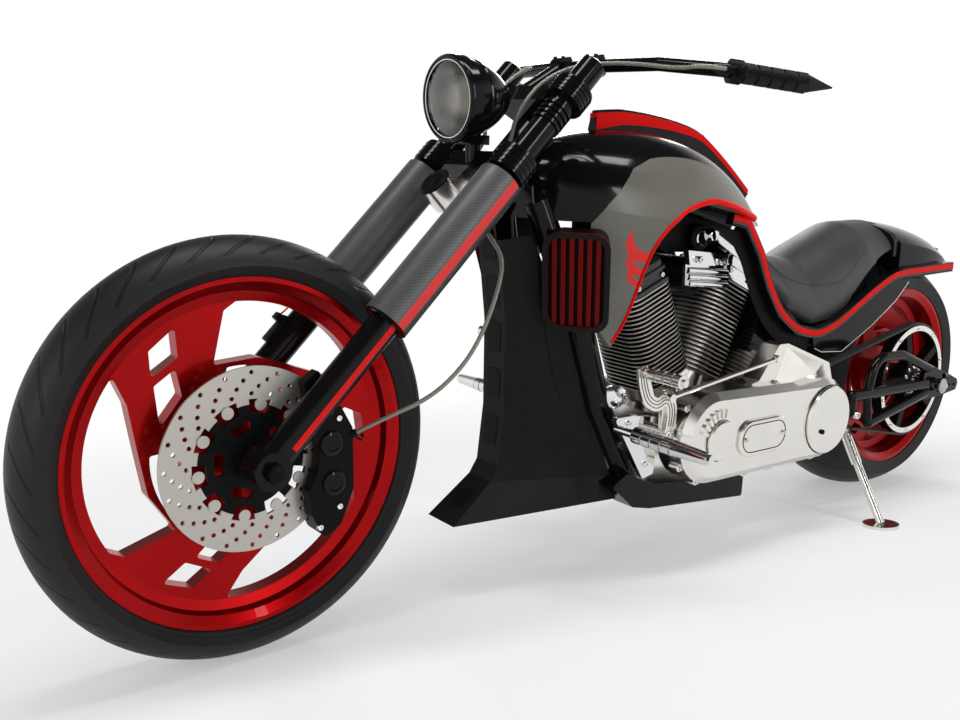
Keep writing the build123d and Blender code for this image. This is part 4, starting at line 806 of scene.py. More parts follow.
class MOTORCYCLE_OT_stage(bpy.types.Operator):
    """Set up the pale floor, the soft lamps, the white surroundings and the camera"""

    bl_idname = "motorcycle.stage"
    bl_label = "Stage"

    def execute(self, context):
        stage = context.scene.motorcycle_stage
        self.floor(stage.floor)
        self.surroundings(stage.fill)
        # Columns: name, place, size, power in watts
        for name, place, size, power in (
                ("lamp_over", (0.2, 0.4, 3.0), (2.8, 0.45), 60),
                ("lamp_left", (-0.4, 3.6, 1.7), (0.3, 2.2), 32),
                ("lamp_ahead", (4.2, 0.6, 1.6), (0.35, 2.0), 26),
                ("lamp_behind", (-2.6, -2.6, 2.4), (2.0, 0.5), 34)):
            self.lamp(name, Vector(place), size, power)
        self.camera(stage)
        context.scene.view_settings.view_transform = "Standard"
        return {"FINISHED"}

    def floor(self, reach):
        """A pale plain floor that turns into the white surroundings far from the machine."""
        paint = Paint("floor", (0.86, 0.86, 0.86))
        x, y, z = paint.node("ShaderNodeTexCoord", {}, {}, "Object").parts()
        away = (x * x + y * y).math("SQRT")
        cloud = paint.noise(400)
        paint.feed(base_color=paint.mix(cloud, (0.85, 0.85, 0.85), (0.87, 0.87, 0.87)), roughness=cloud * 0.1 + 0.6)
        glow = paint.node("ShaderNodeEmission", {}, {"Color": (1, 1, 1, 1), "Strength": 1.0})
        shader = Value(paint, paint.shader.outputs[0])
        mixed = paint.node("ShaderNodeMixShader", {}, {0: away.smooth(0.9, 2.6) * 0.62 + 0.38, 1: shader, 2: glow})
        paint.join(mixed, paint.tree.nodes["Material Output"].inputs["Surface"])
        mesh = bpy.data.meshes.new("floor")
        corners = [(-reach, -reach, 0), (reach, -reach, 0), (reach, reach, 0), (-reach, reach, 0)]
        mesh.from_pydata(corners, [], [(0, 1, 2, 3)])
        mesh.materials.append(paint.material)
        floor = bpy.data.objects.new("floor", mesh)
        show(floor)

    def surroundings(self, fill):
        """White walls and a dusky ceiling to look at or see mirrored, and an even fill of light."""
        world = bpy.data.worlds.new("studio")
        bpy.context.scene.world = world
        world.use_nodes = True
        room = Paint.on(world.node_tree)
        seen = None
        for ray in ("Is Camera Ray", "Is Glossy Ray", "Is Transmission Ray"):
            path = room.node("ShaderNodeLightPath", {}, {}, ray)
            seen = path if seen is None else seen.math("MAXIMUM", path)
        height = room.node("ShaderNodeTexCoord", {}, {}, "Generated").parts()[2]
        wall = room.mix(height.smooth(0.30, 0.62), (1, 1, 1), (0.05, 0.05, 0.055))
        back = room.node("ShaderNodeBackground", {}, {"Color": wall, "Strength": 1.0})
        light = room.node("ShaderNodeBackground", {}, {"Color": (0.93, 0.96, 1, 1), "Strength": fill})
        both = room.node("ShaderNodeMixShader", {}, {0: seen, 1: light, 2: back})
        room.join(both, room.tree.nodes["World Output"].inputs["Surface"])

    def lamp(self, name, place, size, power):
        """A soft box that faces the middle of the machine."""
        data = bpy.data.lights.new(name, "AREA")
        data.shape = "RECTANGLE"
        data.size, data.size_y = size
        data.energy = power
        lamp = bpy.data.objects.new(name, data)
        lamp.location = place
        lamp.rotation_euler = (Vector((0, 0, 0.5)) - place).to_track_quat("-Z", "Y").to_euler()
        show(lamp)

    def camera(self, stage):
        """The camera at the photograph's place, direction and focal length."""
        data = bpy.data.cameras.new("camera")
        data.lens = stage.lens
        camera = bpy.data.objects.new("camera", data)
        forward = Vector((cos(stage.yaw) * cos(stage.pitch), sin(stage.yaw) * cos(stage.pitch), sin(stage.pitch)))
        level = Vector((sin(stage.yaw), -cos(stage.yaw), 0))
        rise = level.cross(forward)
        right = level * cos(stage.roll) + rise * sin(stage.roll)
        up = rise * cos(stage.roll) - level * sin(stage.roll)
        turn = Matrix((right, up, -forward)).transposed()
        camera.matrix_world = Matrix.Translation(Vector(stage.camera)) @ turn.to_4x4()
        show(camera)
        bpy.context.scene.camera = camera


class MOTORCYCLE_OT_finishes(bpy.types.Operator):
    """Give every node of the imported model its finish"""

    bl_idname = "motorcycle.finishes"
    bl_label = "Finishes"

    def execute(self, context):
        materials = {node: finish(maker) for maker, nodes in NODE_FINISHES for node in nodes}
        materials["front_tyre"] = tyre_rubber("front_tyre_rubber", front_axle, 327, 65, 34)
        materials["rear_tyre"] = tyre_rubber("rear_tyre_rubber", rear_axle, 274, 125, 26)
        for node in ("brake_hose", "bar_hose_left", "bar_hose_right"):
            materials[node] = finish(braided_hose, "braid", tuple(colours().hose))
        for name, node in frame["nodes"].items():
            node.data.materials.clear()
            node.data.materials.append(materials[name])
        return {"FINISHED"}


# Hoses: the caliper's gland and the route up to the lower clamp, and the route from a hand control down
HOSE_RADIUS = 0.004
BRAKE_GLAND = Vector((1736, 84, 388))
BRAKE_GLAND_WAY = Vector((-0.72, 0.50, 0.48)).normalized()
GRIP_START = Vector((1098, 330, 1053))
GRIP_WAY = (Vector((905, 430, 1032)) - GRIP_START).normalized()
GLAND_TOP = 10.3


class MOTORCYCLE_OT_hoses(bpy.types.Operator):
    """Lay the brake hose and the two bar hoses as smooth curves"""

    bl_idname = "motorcycle.hoses"
    bl_label = "Hoses"

    def execute(self, context):
        start = BRAKE_GLAND + BRAKE_GLAND_WAY * 28.3
        end = fork_point(CLAMPS[0][0] - GLAND_TOP, 52, 50)
        brake = [start, start + BRAKE_GLAND_WAY * 56, (1597, 150, 460), (1535, 160, 512), (1492, 160, 571),
                 (1455, 152, 645), (1427, 130, 700), (1436, 98, 737), end - steer_up * 50, end]
        lever_out = Vector((GRIP_WAY.y, -GRIP_WAY.x, 0)).normalized()
        gland = GRIP_START + lever_out * 21
        foot = fork_point(CLAMPS[0][0] + CLAMPS[0][1] + GLAND_TOP, 40, 14)
        left = [gland - GRIP_WAY * 2.3, gland - GRIP_WAY * 46, (1152, 272, 1053), (1162, 181, 1065),
                (1178, 107, 1068), (1222, 77, 1060), (1264, 62, 1043), (1301, 55, 1018), (1330, 54, 987),
                (1347, 44, 948), foot + steer_up * 35, foot]
        right = [(Vector(p).x, -Vector(p).y, Vector(p).z) for p in left]
        for name, points, length in (("brake_hose", brake, 0.5955), ("bar_hose_left", left, 0.5682),
                                     ("bar_hose_right", right, 0.5682)):
            self.hose(name, [drawing @ Vector(p) for p in points], length)
        return {"FINISHED"}

    def hose(self, name, points, length):
        """One hose on a spline whose control points are its route."""
        curve = bpy.data.curves.new(name + "_line", "CURVE")
        curve.dimensions = "3D"
        curve.bevel_depth = HOSE_RADIUS
        curve.bevel_resolution = 4
        curve.resolution_u = 12
        curve.use_fill_caps = True
        spline = curve.splines.new("NURBS")
        spline.points.add(len(points) - 1)
        for point, place in zip(spline.points, points):
            point.co = (*place, 1)
        spline.order_u = 3
        spline.use_endpoint_u = True
        curve.materials.append(finish(braided_hose, "braid", tuple(colours().hose)))
        hose = bpy.data.objects.new(name + "_line", curve)
        show(hose)
        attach(hose, "steering")
        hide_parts(name)


class MOTORCYCLE_OT_saddle(bpy.types.Operator):
    """Upholster the saddle in leather, with a stitched seam round its hollow"""

    bl_idname = "motorcycle.saddle"
    bl_label = "Saddle"

    def execute(self, context):
        mesh = frame["nodes"]["seat"].data.copy()
        saddle = bpy.data.objects.new("saddle", mesh)
        show(saddle)
        remesh = saddle.modifiers.new("Remesh", "REMESH")
        remesh.mode = "VOXEL"
        remesh.voxel_size = 0.006
        smooth = saddle.modifiers.new("Smooth", "SMOOTH")
        smooth.factor, smooth.iterations = 0.5, 3
        self.apply(saddle)
        rest = [v.co.copy() for v in saddle.data.vertices]
        for vertex in saddle.data.vertices:
            vertex.co -= vertex.normal * 0.002
        self.fill(context, saddle, rest)
        subdivide = saddle.modifiers.new("Subdivide", "SUBSURF")
        subdivide.levels = subdivide.render_levels = 1
        self.apply(saddle)
        bridge = Shape()
        arch = [(120 * cos(radians(a)), 694 + 54 * sin(radians(a))) for a in range(0, 181, 15)]
        bridge.slab([(70.5, y, z) for y, z in [(120, 664)] + arch + [(-120, 664)]], X_WAY * 22)
        bridge.place("saddle_bridge", "machine", finish(black_gloss), "black_paint")
        saddle.data.shade_smooth()
        saddle.data.materials.clear()
        saddle.data.materials.append(finish(saddle_leather))
        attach(saddle, "machine")
        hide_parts("seat")
        self.seam(saddle)
        return {"FINISHED"}

    def apply(self, piece):
        """Keep what the modifiers make as the piece's own mesh."""
        graph = bpy.context.evaluated_depsgraph_get()
        piece.data = bpy.data.meshes.new_from_object(piece.evaluated_get(graph))
        piece.modifiers.clear()

    def fill(self, context, saddle, rest):
        """Push the cover out with its filling, no further than the puff allows."""
        cloth = saddle.modifiers.new("Cloth", "CLOTH")
        cloth.settings.use_pressure = True
        cloth.settings.uniform_pressure_force = 4
        cloth.settings.effector_weights.gravity = 0
        cloth.collision_settings.use_collision = False
        for number in range(1, 21):
            context.scene.frame_set(number)
        graph = context.evaluated_depsgraph_get()
        filled = bpy.data.meshes.new_from_object(saddle.evaluated_get(graph))
        saddle.modifiers.clear()
        context.scene.frame_set(1)
        most = sizes().puff
        for vertex, full, start in zip(saddle.data.vertices, filled.vertices, rest):
            move = full.co - vertex.co
            vertex.co += move * min(1.0, most / max(move.length, 1e-9))
            outside = vertex.co - start
            vertex.co = start + outside * min(1.0, 0.001 / max(outside.length, 1e-9))

    def seam(self, saddle):
        """A raised piping line with a row of stitches above it, on both sides."""
        cover = BVHTree.FromPolygons([from_frame @ v.co for v in saddle.data.vertices],
                                     [p.vertices for p in saddle.data.polygons])
        # Seam seen from the side: place along, height
        line = side_curve(((566, 676), (545, 650), (516, 623), (444, 604), (385, 603), (326, 611), (270, 642),
                           (237, 669), (214, 705)))
        piping, stitches = Shape(), Shape()
        step = sizes().stitch * 1000
        for side in (-1, 1):
            dense = []
            for x, z in line:
                hit = side_hit(cover, x, z, side)
                dense.extend([hit] if hit else [])
            piping.tube([place + normal * 0.2 for place, normal in dense], 1.5, 8)
            for (place, normal), (following, _) in zip(dense, dense[1:]):
                way = (following - place).normalized()
                lift = normal.cross(way).normalized() * 5
                if lift.z < 0:
                    lift = -lift
                middle = cover.find_nearest(place + lift)[0] + normal * 0.3
                stitches.tube((middle - way * step * 0.35, middle + way * step * 0.35), 0.7, 6)
        piping.place("saddle_piping", "machine", finish(saddle_leather), "leather")
        stitches.place("saddle_stitches", "machine", finish(thread), "leather")


class MOTORCYCLE_OT_wheel_trim(bpy.types.Operator):
    """Fit the valve stems, carrier bolts, pulley rim and axle nuts"""

    bl_idname = "motorcycle.wheel_trim"
    bl_label = "Wheel trim"

    def execute(self, context):
        front = Shape()
        for bolt in range(5):
            turn = radians(36 + 72 * bolt)
            front.bolt(front_axle + Vector((34 * cos(turn), 64.6, 34 * sin(turn))), Y_WAY, 5)
        valve = Vector((cos(radians(205)), 0, sin(radians(205))))
        front.lathe([(5, 0), (5, 6), (3.4, 8), (3.4, 30), (0, 31)], front_axle + valve * 292, -valve, 12)
        front.place("front_wheel_bolts", "front_wheel", finish(black_satin), "black_paint")

        rear = Shape()
        rear.lathe([(135, -1), (135, 1.6), (149, 1.6), (149, -1)], (rear_axle.x, PULLEY_FACE, rear_axle.z), Y_WAY, 72)
        for bolt in range(10):
            turn = radians(18 + 36 * bolt)
            rear.bolt(rear_axle + Vector((36 * cos(turn), PULLEY_FACE, 36 * sin(turn))), Y_WAY, 5.5)
            rear.bolt(rear_axle + Vector((142 * cos(turn), PULLEY_FACE + 1.5, 142 * sin(turn))), Y_WAY, 4)
        rear.place("pulley_rim", "rear_wheel", finish(polished_aluminium), "polished_aluminium")

        nuts = Shape()
        for side in (-1, 1):
            nuts.nut(front_axle + Y_WAY * side * 153, Y_WAY * side, 17, 12)
        nuts.place("front_axle_nuts", "steering", finish(black_satin), "black_paint")
        nuts = Shape()
        for side in (-1, 1):
            nuts.nut(rear_axle + Y_WAY * side * 247, Y_WAY * side, 19, 12)
        nuts.place("rear_axle_nuts", "machine", finish(brushed_steel), "steel")
        return {"FINISHED"}


class MOTORCYCLE_OT_fork_trim(bpy.types.Operator):
    """Fit the clamps' grooved rings and bolts, the cover ends and the right leg's bracket"""

    bl_idname = "motorcycle.fork_trim"
    bl_label = "Fork trim"

    def execute(self, context):
        rings, bolts = Shape(), Shape()
        for side in (-1, 1):
            spread = side * LEG_SPREAD
            for start, height in CLAMPS:
                for ring in range(4):
                    along = start + (ring + 0.6) * height / 4.2
                    rings.lathe([(CLAMP_BOSS - 2, -2.4), (CLAMP_BOSS + 1.6, -1.6), (CLAMP_BOSS + 1.6, 1.6),
                                 (CLAMP_BOSS - 2, 2.4)], fork_point(along, spread), steer_up, 40)
                for level in (0.28, 0.72):
                    bolts.bolt(fork_point(start + height * level, side * 76, 22), steer_back, 6)
            rings.lathe([(26, -2), (26, 4), (20, 9), (11, 9), (10, 4), (0, 4)], fork_point(FORK_TOP, spread),
                        steer_up, 32)
            for along, way in ((COVER_END, 1), (COVER_START, -1)):
                rings.lathe([(COVER_RADIUS - 1, -3), (COVER_RADIUS - 1, 1), (COVER_RADIUS - 5, 3), (29, 3)],
                            fork_point(along, spread), steer_up * way, 40)
        rings.place("fork_rings", "steering", finish(black_gloss), "black_paint")
        bolts.lathe([(20, 0), (20, 10), (13, 14), (0, 14)], fork_point(912, 0, STEM_OFFSET), steer_up, 6)
        bolts.place("clamp_bolts", "steering", finish(chrome), "chrome")

        bracket = Shape()
        clip = fork_point(226, -LEG_SPREAD, -30)
        bracket.box(clip, (14, 24, 60), steer_back, steer_up)
        bracket.box(clip - steer_back * 10 + steer_up * 18, (22, 18, 14), steer_back, steer_up)
        bracket.place("leg_bracket", "steering", finish(black_satin), "black_paint", bevel=1.5)
        wire = Shape()
        wire.tube([clip - steer_back * 16 + steer_up * along + Y_WAY * side for along, side in
                   ((20, 0), (30, 6), (44, 10), (60, 8), (72, 2), (84, -2))], 1.6, 8)
        wire.place("signal_wire", "steering", finish(stripe_red), "red_paint")
        return {"FINISHED"}


class MOTORCYCLE_OT_headlight(bpy.types.Operator):
    """Fit the bezel, the reflector with its bulb, and the shell's seam and side bolts"""

    bl_idname = "motorcycle.headlight"
    bl_label = "Headlight"

    def execute(self, context):
        bezel = Shape()
        bezel.lathe([(70.9, -5), (71.6, 1), (74, 3.2), (78, 2.6), (80.4, -1), (80.4, -8)], LAMP_FRONT, LAMP_AXIS, 72)
        bezel.place("headlight_bezel", "steering", finish(black_gloss), "black_paint")
        ring = Shape()
        ring.lathe([(69.2, -1), (69.6, 1.6), (71.2, 1.8), (71.4, -1)], LAMP_FRONT, LAMP_AXIS, 72)
        ring.place("headlight_ring", "steering", finish(chrome), "chrome")
        bowl = Shape()
        bowl.lathe([(68.5, -12), (62, -34), (50, -58), (34, -80), (16, -96), (7, -100)], LAMP_FRONT, LAMP_AXIS, 48)
        bowl.lathe([(0, -40), (12, -42), (14, -50), (13, -62), (7, -66), (7, -99)], LAMP_FRONT, LAMP_AXIS, 24)
        bowl.place("headlight_reflector", "steering", finish(dark_mirror), "polished_aluminium")
        trim = Shape()
        trim.lathe([(69.0, -55), (72.2, -53), (71.6, -50), (69.0, -49)], LAMP_FRONT, LAMP_AXIS, 72)
        for side in (-1, 1):
            trim.lathe([(12, -8), (12, 3), (8, 5), (0, 5)], LAMP_FRONT - LAMP_AXIS * 70 + Y_WAY * side * 64,
                       Y_WAY * side, 24)
        trim.place("headlight_seam", "steering", finish(black_gloss), "black_paint")
        return {"FINISHED"}


class MOTORCYCLE_OT_bar_trim(bpy.types.Operator):
    """Fit the riser bolts, the switch buttons and the horn's ring and marks"""

    bl_idname = "motorcycle.bar_trim"
    bl_label = "Bar trim"

    def execute(self, context):
        bolts = Shape()
        for side in (-1, 1):
            for x, y in ((-9, 36), (9, 36), (-9, 60), (9, 60)):
                bolts.bolt(Vector((1150 + x, side * y, 1066 + 19)), Z_WAY, 4)
        bolts.place("riser_bolts", "steering", finish(black_satin), "black_paint")
        switches = Shape()
        for side in (-1, 1):
            way = Vector((GRIP_WAY.x, side * GRIP_WAY.y, GRIP_WAY.z))
            base = Vector((GRIP_START.x, side * GRIP_START.y, GRIP_START.z)) + way * 23
            rear = Vector((-way.y * side, way.x * side, 0)).normalized()
            switches.box(base + rear * 20, (20, 14, 18), way, Z_WAY)
            switches.lathe([(4, 0), (4, 5), (0, 6)], base + rear * 30 + Z_WAY * 4, rear, 12)
        switches.place("bar_switches", "steering", finish(black_satin), "black_paint", bevel=1.2)
        horn = Shape()
        centre = fork_point(CLAMPS[0][0] - 60, -6, -34)
        horn.lathe([(32, -1), (32, 3), (27, 5), (24, 2), (10, 2), (8, 5), (0, 5)], centre, -steer_back, 40)
        horn.place("horn_face", "steering", finish(black_satin), "black_paint")
        return {"FINISHED"}


class MOTORCYCLE_OT_engine_trim(bpy.types.Operator):
    """Fit the rocker bolts, pushrod tubes, top mounting with black liners of painted shade inside the rails, round
    caps and the small covers of the cases
    """

    bl_idname = "motorcycle.engine_trim"
    bl_label = "Engine trim"

    def execute(self, context):
        bolts, tubes, mount_and_shade_liners = Shape(), Shape(), Shape()
        for way in (-1, 1):
            bank = bank_way(way)
            across = Vector((cos(BANK_ANGLE), 0, -way * sin(BANK_ANGLE)))
            for along in (-34, 34):
                for y in (-58, 0, 58):
                    bolts.bolt(CRANK + bank * ROCKER_TOP + across * along + Y_WAY * y, bank, 5)
            for along in (-38, 38):
                for y in (-1, 1):
                    bolts.bolt(CRANK + bank * (HEAD_START + 20) + across * along + Y_WAY * y * 74, Y_WAY * y, 6)
            for shift in (0, 30):
                low = Vector((CRANK.x + way * (24 + shift), -100, CRANK.z + 88))
                high = CRANK + bank * (HEAD_START - 6) + across * (shift - 16) * 1.2 + Y_WAY * -97
                tubes.tube((low, high), 8)
                tubes.lathe([(12, -6), (12, 8), (9, 12)], low, high - low, 20)
                tubes.lathe([(12, -6), (12, 8), (9, 12)], high, low - high, 20)
        bolts.place("rocker_bolts", "machine", finish(chrome), "chrome")
        tubes.place("pushrod_tubes", "machine", finish(chrome), "chrome")
        mount_and_shade_liners.lathe([(31, -60), (31, 0), (28, 3), (0, 3)], (ROUND_CAP[0], 64, ROUND_CAP[1]), Y_WAY, 40)
        mount_and_shade_liners.slab(side_points(-46, ((985, 752), (905, 782), (835, 772), (740, 752), (668, 700), (690, 690),
                                     (745, 705), (835, 688), (905, 690), (960, 730))), Y_WAY * 92)
        for side in (-1, 1):
            inner = side_curve(RAIL_LINE[1:8])
            # Painted shade: a black sheet just inside each rail, below its line, fills the gap down to the engine
            # with dark.
            mount_and_shade_liners.band(below(inner, 8), below(inner, 60), side * 130, -2.0)
            mount_and_shade_liners.slab(side_points(side * 96, ((1150, 640), (1228, 640), (1232, 770), (1150, 770))),
                       Y_WAY * side * 5)
        mount_and_shade_liners.slab(side_points(-30, ((745, 760), (650, 735), (596, 690), (560, 600), (610, 560), (700, 700))),
                   Y_WAY * 60)
        mount_and_shade_liners.place("top_mount_and_shade_liners", "machine", finish(black_satin), "black_paint", bevel=1.0)
        cap = Shape()
        cap.lathe([(18, -1), (18, 3), (15.5, 5), (14.5, 3.6), (0, 4.4)], (ROUND_CAP[0], 67, ROUND_CAP[1]), Y_WAY, 36)
        arm = (Vector((775, 66, 728)), Vector((644, 66, 662)))
        cap.box((arm[0] + arm[1]) / 2, (148, 26, 17), arm[1] - arm[0], Z_WAY.cross(Y_WAY).cross(Y_WAY) + Z_WAY * 2)
        for end in arm:
            cap.lathe([(14, -14), (14, 14), (11, 16), (0, 16)], end, Y_WAY, 28)
        for x, z in ((838, 676), (758, 668)):
            cap.bolt((x, 93, z), Y_WAY, 8)
        cap.slab(side_points(76, ((872, 697), (734, 684), (742, 658), (864, 664))), Y_WAY * 14)
        for level in range(3):
            rise = 652 - level * 15
            cap.tube([(862 - level * 3, 82, rise), (728 - level * 2, 82, rise - 9)], 7.5, 16)
        cap.slab(side_points(70, ((866, 664), (736, 656), (722, 606), (862, 618))), Y_WAY * 9)
        cap.lathe([(22, 0), (25, 6), (25, 15), (19, 21), (10, 24), (0, 25)], (1114, 122, 404), (0.35, 0.94, 0), 36)
        cap.place("round_caps", "machine", finish(chrome), "chrome")
        self.cases()
        return {"FINISHED"}

    def cases(self):
        """Ears, bolts, ribs and the pointed casting on the primary case."""
        trim = Shape()
        ends = ((918.0, 312.0, 100.0, (200, 245, 285, 325, 5, 45)), (520.0, 305.0, 96.0, (150, 195, 235, 275)))
        for x, z, radius, angles in ends:
            for angle in angles:
                turn = radians(angle)
                place = Vector((x + radius * cos(turn), 200, z + radius * sin(turn)))
                trim.lathe([(9, 0), (9, 22), (7, 24), (0, 24)], place, Y_WAY, 20)
                trim.bolt(place + Y_WAY * 24, Y_WAY, 5)
        for x in (600, 690, 780):
            for z in (208, 402):
                place = Vector((x, 206, z))
                trim.lathe([(9, 0), (9, 16), (7, 18), (0, 18)], place, Y_WAY, 20)
                trim.bolt(place + Y_WAY * 18, Y_WAY, 5)
        for rib in range(7):
            turn = radians(22 + rib * 13)
            out = Vector((cos(turn), 0, sin(turn)))
            place = Vector((ENGINE_COVER[0], PRIMARY_FACE + 1.5, ENGINE_COVER[1]))
            trim.box(place + out * 60, (20, 8, 7), out, Y_WAY.cross(out))
        place = Vector((OVAL_COVER[0], PRIMARY_FACE + 8, OVAL_COVER[1]))
        for side in (-1, 1):
            trim.bolt(place + X_WAY * side * 66, Y_WAY, 5)
        base = side_points(UPPER_CASE_FACE - 1, ((655, 486), (505, 434), (472, 372), (520, 356), (700, 388)))
        tip = trim.mesh.verts.new(Vector((590, UPPER_CASE_FACE + 36, 424)))
        corners = [trim.mesh.verts.new(p) for p in base]
        for here, there in zip(corners, corners[1:] + corners[:1]):
            trim.mesh.faces.new((here, there, tip))
        trim.mesh.faces.new(corners[::-1])
        trim.place("case_trim", "machine", finish(polished_aluminium), "polished_aluminium", smooth=30)
        dark = Shape()
        dark.bolt((548, PRIMARY_FACE + 7.2, 280), Y_WAY, 6)
        outline = []
        for end, centre in ((1, 44), (-1, -44)):
            for step in range(13):
                turn = radians(-90 + step * 15)
                outline.append((centre + end * 31 * cos(turn), end * 31 * sin(turn)))
        closed = outline + outline[:1]
        dark.tube([place + Vector((x, 0.2, z)) for x, z in closed], 1.2, 8)
        for x, z, radius in ((*CLUTCH_COVER, 83.0), (*ENGINE_COVER, 45.5)):
            dark.lathe([(radius - 1, 0), (radius, 0.8), (radius + 1, 0)], (x, PRIMARY_FACE, z), Y_WAY, 64)
        dark.place("case_lines", "machine", finish(black_satin), "black_paint")


class MOTORCYCLE_OT_body_trim(bpy.types.Operator):
    """Lay the tank panels' red border, the rails' stripe and pinstripe, and thin black plates of painted shade for
    the air dam's slots
    """

    bl_idname = "motorcycle.body_trim"
    bl_label = "Body trim"

    def execute(self, context):
        red, grey = Shape(), Shape()
        panels = body_skin("tank_panels")
        bead = sizes().bead * 1000
        rail = side_curve(RAIL_LINE)
        for side in (-1, 1):
            edge = []
            for x, z in side_curve(PANEL_BORDER):
                hits = [side_hit(panels, x, z + rise, side) for rise in range(2, 62, 3)]
                edge.extend([hit[0] for hit in hits if hit][:1])
            wide = [bead * (0.8 + 1.3 * (place / len(edge)) ** 2) for place in range(len(edge))]
            red.tube(edge, wide, 12)
            red.band(below(rail, 3), below(rail, 17), side * RAIL_FACE, 1.0)
            grey.band(below(rail, 19), below(rail, 21), side * RAIL_FACE, 0.8)
        crest = smooth_line([Vector((x, 0, z)) for x, z in SPINE_TOP])
        depth = [34 - 20 * min(1.0, place / (len(crest) * 0.7)) for place in range(len(crest))]
        under = [point - Z_WAY * down for point, down in zip(crest, depth)]
        ridge = Shape()
        for pair in zip(crest, crest[1:], under, under[1:]):
            here, there, low, next_low = pair
            red.slab([p - Y_WAY * 10.4 for p in (here, there, next_low, low)], Y_WAY * 20.8)
        ridge.tube([p + Z_WAY * 0.5 for p in crest], 5.5, 12)
        ridge.place("spine_cap", "machine", finish(black_gloss), "black_paint")
        red.place("red_lines", "machine", finish(stripe_red), "red_paint")
        grey.place("pinstripes", "machine", finish(thread), "charcoal_paint")
        self.slots()
        self.strut_edge_highlights()
        return {"FINISHED"}

    def slots(self):
        """Thin black plates with round corners down the front of the air dam, painted shade standing in for its open
        slots, and the creases on its sides.
        """
        dam = body_skin("air_dam")
        slots, creases = Shape(), Shape()
        # Painted shade: each slot is a thin black plate on the dam's front face.
        for level, tall in ((706, 50), (619, 62), (526, 62), (430, 62), (331, 62), (196, 44)):
            place, normal = dam.ray_cast(Vector((1700, 0, level)), -X_WAY)[:2]
            normal = normal if normal.x > 0 else -normal
            up = (Z_WAY - normal * normal.z).normalized()
            outline = []
            for corner in range(4):
                for step in range(5):
                    turn = radians(corner * 90 + step * 22.5)
                    side, rise = (1, -1, -1, 1)[corner], (1, 1, -1, -1)[corner]
                    outline.append(place + normal * 0.2 + Y_WAY * (side * 12 + 8 * cos(turn))
                                   + up * (rise * (tall / 2 - 8) + 8 * sin(turn)))
            slots.slab(outline, normal * 0.8)
        for side in (-1, 1):
            for line in (((1302, 730), (1278, 600), (1250, 480), (1222, 400)),
                         ((1262, 730), (1235, 600), (1190, 440), (1150, 310))):
                hits = [side_hit(dam, x, z, side) for x, z in side_curve(line)]
                creases.tube([hit[0] for hit in hits if hit], 1.6, 8)
        slots.place("dam_slot_shade_plates", "machine", finish(black_satin), "black_paint")
        creases.place("dam_creases", "machine", finish(black_gloss), "black_paint")

    def strut_edge_highlights(self):
        """A pale line along the lower edge of each tail strut, a painted highlight."""
        line = ((30, 596), (84, 548), (190, 486), (312, 430), (400, 436), (432, 448))
        edges = Shape()
        for side in (-1, 1):
            edges.tube([(x, side * 137, z) for x, z in line], 1.6, 8)
        edges.place("strut_edge_highlights", "machine", finish(polished_aluminium), "polished_aluminium")


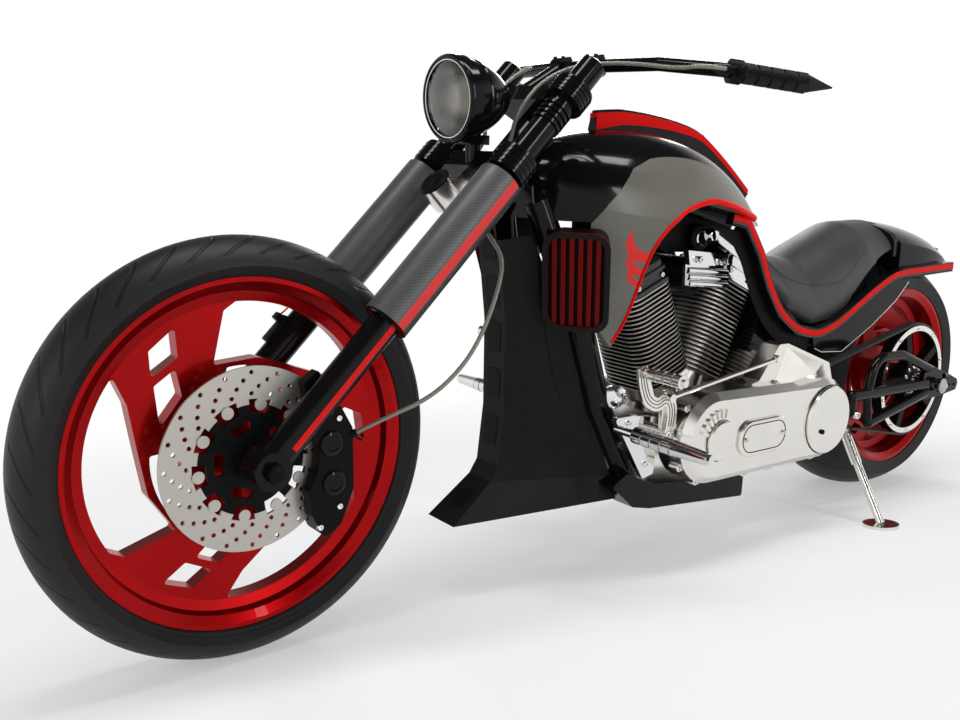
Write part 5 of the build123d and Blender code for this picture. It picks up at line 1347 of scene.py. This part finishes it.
class MOTORCYCLE_OT_running_trim(bpy.types.Operator):
    """Fit the bolts of the foot plates, calipers and swingarm, and the shift lever's grooves as dark lines of painted
    shade
    """

    bl_idname = "motorcycle.running_trim"
    bl_label = "Running gear trim"

    def execute(self, context):
        bolts = Shape()
        for side in (-1, 1):
            for x, z in ((1062, 262), (1070, 330), (1120, 358)):
                bolts.bolt((x, side * 180, z), Y_WAY * side, 6)
            bolts.bolt((1040, side * (LEVER_FACE + 2), 332), Y_WAY * side, 8)
            bolts.bolt((385, side * 241, 296), Y_WAY * side, 9)
            bolts.bolt((-52, side * SWINGARM_FACE, 320), Y_WAY * side, 6)
        bolts.place("frame_bolts", "machine", finish(chrome), "chrome")
        plate, grooves = Shape(), Shape()
        line = side_curve(SHIFT_LEVER)
        plate.band(below(line, -14), below(line, 14), LEVER_FACE, 6.0)
        plate.place("lever_plate", "machine", finish(polished_aluminium), "polished_aluminium")
        # Painted shade: the grooves are dark raised lines on the polished plate.
        for offset in (-7, 0, 7):
            grooves.tube([(x, LEVER_FACE + 6.2, z) for x, z in below(line, offset)[3:-3]], 1.0, 6)
        grooves.place("lever_grooves_painted_shade", "machine", finish(thread), "black_paint")
        caliper = Shape()
        for x, z in ((1752, 432), (1748, 272), (1786, 240)):
            caliper.bolt((x, 96, z), Y_WAY, 6)
        caliper.place("caliper_bolts", "steering", finish(chrome), "chrome")
        pistons = Shape()
        for x, z in ((1764, 388), (1758, 316)):
            pistons.lathe([(22, -1), (22, 4), (18, 7), (14, 7), (12, 5), (0, 5)], (x, 96, z), Y_WAY, 32)
        pistons.place("caliper_caps", "steering", finish(black_gloss), "black_paint")
        return {"FINISHED"}


OPERATORS = (MOTORCYCLE_OT_stage, MOTORCYCLE_OT_finishes, MOTORCYCLE_OT_hoses, MOTORCYCLE_OT_saddle,
             MOTORCYCLE_OT_wheel_trim, MOTORCYCLE_OT_fork_trim, MOTORCYCLE_OT_headlight, MOTORCYCLE_OT_bar_trim,
             MOTORCYCLE_OT_engine_trim, MOTORCYCLE_OT_body_trim, MOTORCYCLE_OT_running_trim)
GROUPS = (("motorcycle_colours", MotorcycleColours), ("motorcycle_sizes", MotorcycleSizes),
          ("motorcycle_stage", MotorcycleStage))


class MOTORCYCLE_PT_panel(bpy.types.Panel):
    """The steps that finish the motorcycle, in the sidebar"""

    bl_label = "Motorcycle"
    bl_space_type = "VIEW_3D"
    bl_region_type = "UI"
    bl_category = "Motorcycle"

    def draw(self, context):
        for operator in OPERATORS:
            self.layout.operator(operator.bl_idname)
        for name, group in GROUPS:
            column = self.layout.box().column()
            for value in group.__annotations__:
                column.prop(getattr(context.scene, name), value)


def register():
    """Add the groups of values, the steps and the panel."""
    for name, group in GROUPS:
        bpy.utils.register_class(group)
        setattr(bpy.types.Scene, name, bpy.props.PointerProperty(type=group))
    for operator in OPERATORS:
        bpy.utils.register_class(operator)
    bpy.utils.register_class(MOTORCYCLE_PT_panel)


def unregister():
    """Take them away again, last first."""
    bpy.utils.unregister_class(MOTORCYCLE_PT_panel)
    for operator in reversed(OPERATORS):
        bpy.utils.unregister_class(operator)
    for name, group in reversed(GROUPS):
        delattr(bpy.types.Scene, name)
        bpy.utils.unregister_class(group)


def main():
    """Register the add-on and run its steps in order."""
    register()
    for operator in OPERATORS:
        group, step = operator.bl_idname.split(".")
        getattr(getattr(bpy.ops, group), step)()


if __name__ == "__main__":
    main()
